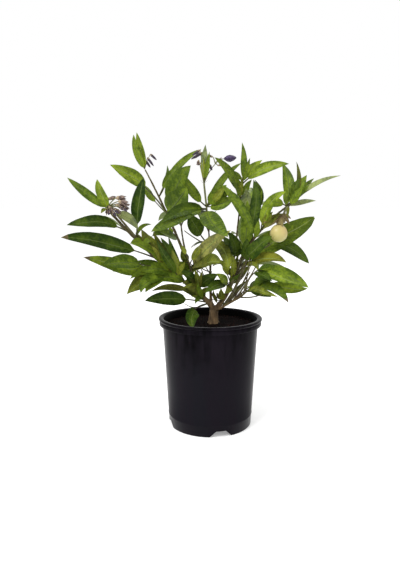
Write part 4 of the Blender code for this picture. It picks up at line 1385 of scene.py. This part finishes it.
@dataclass
class Foliage:
    """All the leaves, with their stalks, ribs, undersides and scorched tips."""

    wood: Wood
    seed: int = 7
    stations: int = 12
    widest: float = 0.42
    front: Vector = field(default_factory=lambda: Vector((0.0, -1.0, 0.12)))
    blades: dict[Tint, Spines] = field(default_factory=lambda: {tint: Spines() for tint in Tint})
    nodes: dict[Tint, list[str]] = field(default_factory=lambda: {tint: [] for tint in Tint})
    scorched: Spines = field(default_factory=Spines)
    light_ribs: Spines = field(default_factory=Spines)
    dark_ribs: Spines = field(default_factory=Spines)
    stalks: Spines = field(default_factory=Spines)

    def __post_init__(self) -> None:
        """Starts the seeded draws."""
        self.draw = random.Random(self.seed)

    def outline(self, part: float, fullness: float) -> float:
        """The half width of a blade at a share of its length, 1 at its widest.

        Args:
            part: The share of the blade's length.
            fullness: The smaller it is, the blunter the blade's two ends.

        Returns:
            The half width as a share of the greatest.
        """
        toward_foot = part / self.widest
        toward_tip = (1 - part) / (1 - self.widest)
        return toward_foot ** (self.widest * fullness) * toward_tip ** ((1 - self.widest) * fullness)

    def lay(self, leaf: Leaf, foot: Vector) -> None:
        """Lays one leaf's blade, rib and stalk.

        Args:
            leaf: The leaf.
            foot: Where its stalk leaves the wood.
        """
        run = leaf.run
        wave = self.draw.uniform(0, math.tau)
        roll = math.radians(self.draw.uniform(-9, 9))
        bend = self.draw.uniform(-0.016, 0.016) * run.length * MM
        shade = self.draw.uniform(-0.22, 0.30)
        wish = UP * (1 - abs(leaf.facing)) + self.front * leaf.facing
        rows: dict[str, list[Any]] = {"side": [], "lift": [], "half_width": [], "reach": [], "shade": []}
        points = []
        for index in range(self.stations):
            part = index / (self.stations - 1)
            share = leaf.stalk + (1 - leaf.stalk) * part
            tangent = run.tangent(foot, share)
            normal = wish - tangent * wish.dot(tangent)
            if normal.length < 0.05:
                normal = direction(run.heading, run.rise + 90)
            turn = Matrix.Rotation(roll + 0.22 * math.sin(wave + 2 * part), 3, tangent)
            normal = turn @ normal.normalized()
            side = normal.cross(tangent).normalized()
            points.append(run.point(foot, share) + side * bend * math.sin(math.tau * part))
            rows["side"].append(side)
            rows["lift"].append(normal)
            rows["half_width"].append(leaf.width / 2 * MM * self.outline(part, leaf.fullness))
            rows["reach"].append(part * (1 - leaf.stalk) * run.length * MM)
            rows["shade"].append(shade + 0.30 * (1 - part) ** 4 - 0.30 * part ** 4)
        last = self.stations
        if leaf.brown_tip:
            last = self.stations - 1
            self.scorched.line(points[last - 1:], **{name: row[last - 1:] for name, row in rows.items()})
        self.blades[leaf.tint].line(points[:last], **{name: row[:last] for name, row in rows.items()})
        ribs = self.dark_ribs if leaf.tint in (Tint.DARK, Tint.DEEP, Tint.BRONZE, Tint.MID) else self.light_ribs
        thick = [max(0.16 * MM, half * 0.075 + 0.1 * MM) for half in rows["half_width"]]
        ribs.line(points[:-1], radius=thick[:-1])
        steps = 8
        shares = [(leaf.stalk + 0.03) * step / (steps - 1) for step in range(steps)]
        girth = min(1.0, 0.45 + leaf.width / 32)
        radii = [(1.25 - 0.4 * step / (steps - 1)) * girth * MM for step in range(steps)]
        self.stalks.line([run.point(foot, share) for share in shares], radius=radii)

    def twin(self, leaf: Leaf) -> Leaf:
        """Gives the leaf that stands on the far side of the bough from another."""
        run = leaf.run
        far = Run(
            -run.heading + self.draw.uniform(-9, 9),
            run.rise + self.draw.uniform(-4, 4),
            run.length * self.draw.uniform(0.70, 0.90),
            run.arch,
            -run.sway,
        )
        tint = self.draw.choice((leaf.tint, Tint.DEEP, Tint.MID))
        return replace(leaf, run=far, tint=tint, facing=-0.35, brown_tip=False)

    def side_shoot(self, spray: Spray, foot: Vector) -> None:
        """Grows a short side shoot with young leaves, each a golden angle on from the last.

        Args:
            spray: The spray.
            foot: Where it leaves the wood.
        """
        lead = sum((direction(leaf.run.heading, leaf.run.rise) for leaf in spray.leaves), UP * 0.6).normalized()
        length = self.draw.uniform(6, 12) * MM
        start = self.draw.uniform(0, 360)
        tip = foot + lead * length
        self.stalks.line([foot, foot.lerp(tip, 0.5), tip], radius=[0.9 * MM, 0.75 * MM, 0.5 * MM])
        for index in range(spray.young):
            model = self.draw.choice(spray.leaves)
            run = Run(
                start + GOLDEN_ANGLE * index,
                self.draw.uniform(25, 75),
                self.draw.uniform(13, 24),
                self.draw.uniform(-0.04, 0.12),
                self.draw.uniform(-0.08, 0.08),
            )
            tint = self.draw.choice((Tint.OLIVE, Tint.MID, Tint.DEEP, model.tint))
            width = run.length * self.draw.uniform(0.22, 0.30)
            self.lay(Leaf(run, width, tint, 0.12, model.facing), foot.lerp(tip, (index + 1) / spray.young))

    def grow(self) -> None:
        """Lays every spray's own leaves, the leaves behind them and its young shoot."""
        for spray in SPRAYS:
            foot = self.wood.point(spray.parent, spray.along)
            for index, leaf in enumerate(spray.leaves):
                start = self.wood.point(*leaf.at) if leaf.at else foot
                self.lay(leaf, start)
                if index < spray.behind:
                    self.lay(self.twin(leaf), start)
            if spray.young:
                self.side_shoot(spray, foot)
            self.nodes[spray.leaves[0].tint].append(spray.node)

    def sheets(self, lines: Spines, growth: BladeGrowth, name: str, look: bpy.types.Material,
               layer: Layer) -> bpy.types.Object:
        """Sweeps one face of the blades of some spines.

        Args:
            lines: The spines.
            growth: The tree that sweeps blades.
            name: The piece's name.
            look: Its material.
            layer: Which face of the blade.

        Returns:
            The piece.
        """
        sign, over = layer.value
        source = lines.source()
        piece = growth.run(source, name, Look=look, Thickness=sign * 0.15 * MM, Turned_Over=over)
        bpy.data.objects.remove(source)
        return piece

    def build(self, effects: Effects, growth: BladeGrowth, stems: StemGrowth) -> None:
        """Grows the sprays, then makes and dresses the joined pieces.

        Args:
            effects: The shared shader groups.
            growth: The tree that sweeps blades.
            stems: The tree that sweeps ribs and stalks.
        """
        self.grow()
        every = Spines()
        for tint, lines in self.blades.items():
            red, green, blue = tint.value
            dark = (red * 0.66, green * 0.66, blue * 0.7)
            light = (red * 1.35 + green * 0.48, green * 1.80, blue * 1.3 + green * 0.03)
            look = Finish(f"leaf_{tint.name.lower()}", dark, light, 0.42, 0.14, 74, 0.85, 1.9, bump=0.5,
                          bump_depth=0.5 * MM, specular=0.085, veined=True).build(effects)
            piece = self.sheets(lines, growth, f"leaves_{tint.name.lower()}", look, Layer.UPPER)
            finished(piece, look, self.nodes[tint])
        for lines in (*self.blades.values(), self.scorched):
            first = len(every.points)
            every.points += lines.points
            every.edges += [(first + low, first + high) for low, high in lines.edges]
            for name, row in lines.values.items():
                every.values.setdefault(name, []).extend(row)
        under = Finish("leaf_underside", (0.110, 0.150, 0.040), (0.175, 0.215, 0.075), 0.6, 0.1, 60, 0.6, 0.8,
                       bump=0.35, bump_depth=0.35 * MM, specular=0.15, veined=True).build(effects)
        finished(self.sheets(every, growth, "leaves_underside", under, Layer.UNDER), under)
        scorch = SCORCH.build(effects)
        finished(self.sheets(self.scorched, growth, "leaf_tips", scorch, Layer.UPPER), scorch)
        deep_rib = Finish("rib_dark", (0.085, 0.125, 0.022), (0.110, 0.150, 0.034), 0.5, 0.1, 90, 0.5)
        pale_rib = Finish("rib_light", (0.210, 0.270, 0.065), (0.250, 0.300, 0.090), 0.5, 0.1, 90, 0.5)
        swept(self.dark_ribs, stems, "ribs_dark", deep_rib.build(effects), sides=5)
        swept(self.light_ribs, stems, "ribs_light", pale_rib.build(effects), sides=5)
        swept(self.stalks, stems, "leaf_stalks", STALK.build(effects))


@dataclass
class Blossom:
    """The buds, the violet flower, the dried flowers and the fruit."""

    wood: Wood
    seed: int = 23
    fruit_centre: Vector = field(default_factory=lambda: Vector((85.4, -36.1, 262.6)) * MM)
    flower_foot: Vector = field(default_factory=lambda: Vector((17.7, 19.1, 358.8)) * MM)
    sepals: tuple[tuple[float, float, float, float, float], ...] = (
        (184, -24, 29.0, 4.4, 0.0), (194, -36, 25.0, 4.6, 0.12), (172, -14, 21.0, 3.8, 0.05),
        (262, -60, 14.0, 4.6, 0.3), (338, -58, 15.0, 4.8, 0.05), (60, -50, 13.0, 4.4, 0.2),
        (215, -50, 15.0, 4.2, 0.4), (350, -36, 11.0, 4.0, 0.0),
    )
    flower_length: float = 21.0
    petal_width: float = 6.4
    petal_curl: float = -0.62
    stems: Spines = field(default_factory=Spines)
    buds: Mesh = field(default_factory=Mesh)
    dry: Mesh = field(default_factory=Mesh)
    tan: Mesh = field(default_factory=Mesh)

    def __post_init__(self) -> None:
        """Starts the seeded draws."""
        self.draw = random.Random(self.seed)

    def stem(self, points: Sequence[Vector], foot: float, tip: float) -> None:
        """Adds a thin tapering stem through points, eased between them.

        Args:
            points: Its centre line: start, a middle and end.
            foot: Its first radius in millimetres.
            tip: Its last radius in millimetres.
        """
        steps = 8
        start, middle, end = points
        path, radii = [], []
        for step in range(steps):
            share = step / (steps - 1)
            path.append(start.lerp(middle, share).lerp(middle.lerp(end, share), share))
            radii.append((foot + (tip - foot) * share) * MM)
        self.stems.line(path, radius=radii)

    def bud(self, start: Vector, foot: Vector, tip: Vector, girth: float = 1.6) -> None:
        """Adds a long dark bud on its stem, in a toothed calyx.

        Args:
            start: Where its stem leaves the shoot.
            foot: Where the calyx starts.
            tip: The bud's tip.
            girth: Its greatest radius in millimetres.
        """
        self.stem((start, start.lerp(foot, 0.6) + UP * 2 * MM, foot), 0.55, 0.4)
        axis = (tip - foot).normalized()
        widths = [part * girth * MM for part in (0.35, 0.85, 1.0, 0.95, 0.7, 0.25)]
        self.buds.spindle(foot, tip, widths, ripple=0.25)
        side = axis.orthogonal().normalized()
        for index in range(5):
            out = (Matrix.Rotation(math.tau * index / 5, 3, axis) @ side).normalized()
            lean = (axis + out * 0.3).normalized()
            self.tan.petal(foot + out * 0.4 * girth * MM, lean, out, girth * 2.4 * MM, girth * 0.9 * MM, 0.1)

    def dried_flower(self, start: Vector, foot: Vector, axis: Vector, size: float) -> None:
        """Adds a withered flower: a pale calyx and crumpled brown petals.

        Args:
            start: Where its stem leaves the shoot.
            foot: Where the calyx starts.
            axis: The unit direction in which it points.
            size: Its length in millimetres.
        """
        self.stem((start, start.lerp(foot, 0.5) + UP * 2 * MM, foot), 0.8, 0.6)
        side = axis.orthogonal().normalized()
        widths = [part * size * MM for part in (0.06, 0.15, 0.19, 0.14)]
        self.tan.spindle(foot, foot + axis * size * 0.45 * MM, widths, ripple=0.5)
        for index in range(6):
            turn = Matrix.Rotation(math.tau * index / 6 + self.draw.uniform(-0.3, 0.3), 3, axis)
            out = turn @ side
            start_at = foot + (axis * 0.25 + out * 0.10) * size * MM
            lean = (axis + out * self.draw.uniform(-0.1, 0.45)).normalized()
            length = size * self.draw.uniform(0.60, 0.90) * MM
            self.dry.petal(start_at, lean, out, length, size * 0.40 * MM, self.draw.uniform(-0.4, 0.35))

    def left_cluster(self) -> None:
        """Adds the withered cluster at the end of the low left bough."""
        tip = self.wood.point("left_low", 1.0)
        for x, y, z, heading, rise, size in (
            (-123, -68, 304.6, 5, 8, 10), (-113, -70, 305.5, 0, 4, 12), (-110, -72, 301.5, 355, -4, 12.5),
            (-113, -70, 298.1, 350, -24, 11), (-109, -66, 299.3, 345, -26, 10.5),
            (-121, -71, 296.3, 330, -45, 9), (-124, -69, 294.0, 310, -70, 8),
            (-112, -68, 292.8, 330, -50, 8), (-106, -66, 296.9, 350, -30, 9),
            (-125, -69, 299.8, 90, 70, 7),
        ):
            self.dried_flower(tip, Vector((x, y, z)) * MM, direction(heading, rise), size)
        for foot, end in (
            ((-114.4, -74, 294.0), (-109.0, -75, 287.0)), ((-104.6, -74, 295.2), (-98.9, -75, 289.8)),
            ((-119.2, -74, 292.2), (-120.9, -75, 285.8)), ((-108.0, -74, 296.0), (-102.0, -75, 291.2)),
            ((-116.8, -74, 290.5), (-112.1, -75, 284.0)),
        ):
            self.bud(tip, Vector(foot) * MM, Vector(end) * MM, 1.9)

    def high_cluster(self) -> None:
        """Adds the three dark buds that nod from the highest shoot."""
        tip = self.wood.point("left_high", 1.0)
        for foot, end in (((-82.0, 30.4, 366.0), (-73.4, 28.0, 358.2)), ((-86.0, 30.4, 361.6), (-77.6, 29.0, 350.2)),
                          ((-88.6, 31.5, 357.5), (-82.2, 31.0, 348.4))):
            self.bud(tip, Vector(foot) * MM, Vector(end) * MM, 1.7)

    def centre_cluster(self) -> None:
        """Adds the buds, the dried stalks and the flower's stem at the top of the middle bough."""
        tip = self.wood.point("centre", 1.0)
        for foot, end, girth in (((-11.0, 19.1, 367.0), (-26.0, 17.0, 358.2), 2.1),
                                 ((-14.0, 20.0, 370.4), (-24.6, 21.0, 363.4), 1.9),
                                 ((-2.2, 17.0, 351.8), (1.8, 15.5, 343.4), 1.9)):
            self.bud(tip, Vector(foot) * MM, Vector(end) * MM, girth)
        for x, z, rise in ((-16.0, 357.4, 20), (-12.5, 353.4, 70)):
            self.dried_flower(tip, Vector((x, 18.1, z)) * MM, direction(180, rise - 90), 6.5)
        shares = [0.78 + 0.22 * step / 7 for step in range(8)]
        self.stems.line([self.wood.point("centre", share) for share in shares], radius=[1.3 * MM] * 8)
        for heading in (10, 190):
            self.tan.petal(tip, direction(heading, 35), direction(heading, 125), 6.5 * MM, 2.8 * MM, 0.2)
        joint = Vector((6.0, 19.1, 352.0)) * MM
        self.stem((tip, tip.lerp(joint, 0.5) + Vector((-2 * MM, 0, 3 * MM)), joint), 0.8, 0.6)
        for x, z, heading in ((3.0, 361.0, 160), (8.0, 355.5, 20), (9.5, 349.5, 340)):
            self.dried_flower(joint, Vector((x, 19.1, z)) * MM, direction(heading, 20), 7.5)
        middle = joint.lerp(self.flower_foot, 0.5) + UP * 2.5 * MM
        self.stem((joint, middle, self.flower_foot), 0.6, 0.5)

    def flower(self, effects: Effects) -> None:
        """Makes and dresses the violet flower, its five petals still closed to a lens, with their stripes."""
        axis = direction(355, 4)
        side = direction(85, 0)
        up = axis.cross(side)
        petals, stripes = Mesh(), Mesh()
        for index in range(5):
            angle = math.tau * (index + 0.25) / 5
            out = side * math.cos(angle) + up * math.sin(angle)
            lean = (axis + out * 0.8).normalized()
            foot = self.flower_foot + out * 0.6 * MM
            petals.petal(foot, lean, out, self.flower_length * MM, self.petal_width * MM, self.petal_curl)
            stripes.petal(foot + out * 0.35 * MM, lean, out, self.flower_length * 0.9 * MM, 1.2 * MM,
                          self.petal_curl * 0.9)
            self.tan.petal(self.flower_foot, (axis + out * 0.5).normalized(), out, 4.2 * MM, 2.2 * MM, -0.1)
        finished(petals.build("flower_petals"), PETAL.build(effects))
        finished(stripes.build("flower_stripes"), STRIPE.build(effects))

    def fruit(self, effects: Effects) -> None:
        """Makes and dresses the cream fruit with its calyx and stem."""
        body = Mesh()
        rings, sides = 26, 40
        layers = []
        for index in range(rings):
            polar = math.pi * (0.02 + 0.96 * index / (rings - 1))
            dimple = 1.3 * math.exp(-(polar / 0.22) ** 2)
            width = 11.0 * math.sin(polar) * (1 - 0.05 * math.cos(polar))
            height = 11.4 * math.cos(polar) - dimple
            ring = []
            for point in turned(1.0, 0.0, sides):
                swell = 1 + 0.012 * noise.noise(Vector((point.x, point.y, math.cos(polar))) * 1.9)
                ring.append(self.fruit_centre + Vector((point.x * width, point.y * width, height)) * swell * MM)
            layers.append(ring)
        body.tube(layers)
        finished(body.build("fruit"), FRUIT.build(effects))
        top = self.fruit_centre + UP * 10.8 * MM
        apex = self.fruit_centre + Vector((6.0, 0.0, 24.5)) * MM
        calyx = Mesh()
        calyx.spindle(top, apex, [part * MM for part in (4.6, 3.6, 2.8, 1.7)], ripple=0.4)
        for heading, rise, length, width, drop in self.sepals:
            out, front = direction(heading, rise), Vector((0.0, -1.0, 0.2))
            lift = (front - out * front.dot(out)).normalized()
            foot = apex.lerp(top, drop)
            calyx.petal(foot, out, lift, length * MM, width * MM, self.draw.uniform(-0.16, 0.06))
        finished(calyx.build("fruit_calyx"), CALYX.build(effects))
        bough = self.wood.point("right_outer", 0.96)
        self.stem((bough, apex.lerp(bough, 0.5) + Vector((-2.0, 0.0, 0.0)) * MM, apex - UP * 1.0 * MM), 1.2, 1.6)

    def build(self, effects: Effects, stems: StemGrowth) -> None:
        """Makes and dresses every piece.

        Args:
            effects: The shared shader groups.
            stems: The tree that sweeps the stems.
        """
        self.left_cluster()
        self.high_cluster()
        self.centre_cluster()
        self.flower(effects)
        self.fruit(effects)
        finished(self.buds.build("buds"), BUD.build(effects))
        finished(self.dry.build("dried_petals"), DRY.build(effects))
        finished(self.tan.build("dried_calyces"), TAN.build(effects))
        swept(self.stems, stems, "flower_stems", SHOOT.build(effects))


@dataclass(frozen=True)
class Studio:
    """The pale floor, the soft light and the camera at the photograph's viewing angle."""

    camera_away: float = 0.70
    camera_height: float = 0.2955
    camera_side: float = -0.0017
    look_down: float = 0.1479
    turn: float = 0.0176
    lens: float = 33.2
    floor_half: float = 60.0
    floor_tone: float = 0.92
    floor_glow: float = 0.28
    sky: float = 0.84

    def lamp(self, name: str, place: Colour, size: float, power: float) -> None:
        """Adds a soft square lamp aimed at the plant.

        Args:
            name: The lamp's name.
            place: Where it hangs, in metres.
            size: Its side in metres.
            power: Its power in watts.
        """
        light = bpy.data.lights.new(name, "AREA")
        light.size = size
        light.energy = power
        holder = bpy.data.objects.new(name, light)
        holder.location = place
        aim = Vector((0, 0, 0.2)) - holder.location
        holder.rotation_euler = aim.to_track_quat("-Z", "Y").to_euler()
        bpy.context.scene.collection.objects.link(holder)

    def build(self) -> None:
        """Makes the floor, the lights and the camera."""
        bpy.context.scene.view_settings.view_transform = "Standard"
        half = self.floor_half
        floor_data = bpy.data.meshes.new("floor")
        floor_data.from_pydata([(-half, -half, 0), (half, -half, 0), (half, half, 0), (-half, half, 0)], [],
                               [(0, 1, 2, 3)])
        floor = linked("floor", floor_data)
        pale = bpy.data.materials.new("floor")
        pale.use_nodes = True
        shader = pale.node_tree.nodes["Principled BSDF"]
        shader.inputs["Base Color"].default_value = (self.floor_tone, self.floor_tone, self.floor_tone, 1)
        shader.inputs["Roughness"].default_value = 0.9
        shader.inputs["Specular IOR Level"].default_value = 0.1
        shader.inputs["Emission Color"].default_value = (1.0, 1.0, 1.0, 1)
        shader.inputs["Emission Strength"].default_value = self.floor_glow
        floor_data.materials.append(pale)
        world = bpy.context.scene.world or bpy.data.worlds.new("World")
        bpy.context.scene.world = world
        world.use_nodes = True
        backdrop = world.node_tree.nodes["Background"]
        backdrop.inputs["Color"].default_value = (1.0, 1.0, 1.0, 1)
        nodes = Nodes(world.node_tree)
        seen = nodes.put("ShaderNodeLightPath").outputs["Is Camera Ray"]
        strength = nodes.maths("MULTIPLY_ADD", seen, 1.0 - self.sky, self.sky)
        world.node_tree.links.new(strength, backdrop.inputs["Strength"])
        self.lamp("key", (-0.9, -1.0, 1.6), 0.9, 24.0)
        self.lamp("back", (0.5, 1.3, 1.4), 0.9, 8.0)
        lens = bpy.data.cameras.new("camera")
        lens.lens = self.lens
        lens.sensor_width = 36
        lens.clip_start = 0.01
        camera = bpy.data.objects.new("camera", lens)
        camera.location = (self.camera_side, -self.camera_away, self.camera_height)
        camera.rotation_euler = (math.pi / 2 - self.look_down, 0, self.turn)
        bpy.context.scene.collection.objects.link(camera)
        bpy.context.scene.camera = camera


def write_sizes() -> None:
    """Updates the view layer."""
    bpy.context.view_layer.update()


def main() -> None:
    """Builds the studio and every piece of the plant in order."""
    Studio().build()
    effects = Effects()
    blades, stems, bits, relief = BladeGrowth(), StemGrowth(), BitGrowth(), ReliefGrowth()
    Pot().build(effects)
    Peat().build(effects, bits)
    wood = Wood()
    wood.build(effects, relief, bits, stems)
    Foliage(wood).build(effects, blades, stems)
    Blossom(wood).build(effects, stems)
    write_sizes()


if __name__ == "__main__":
    main()
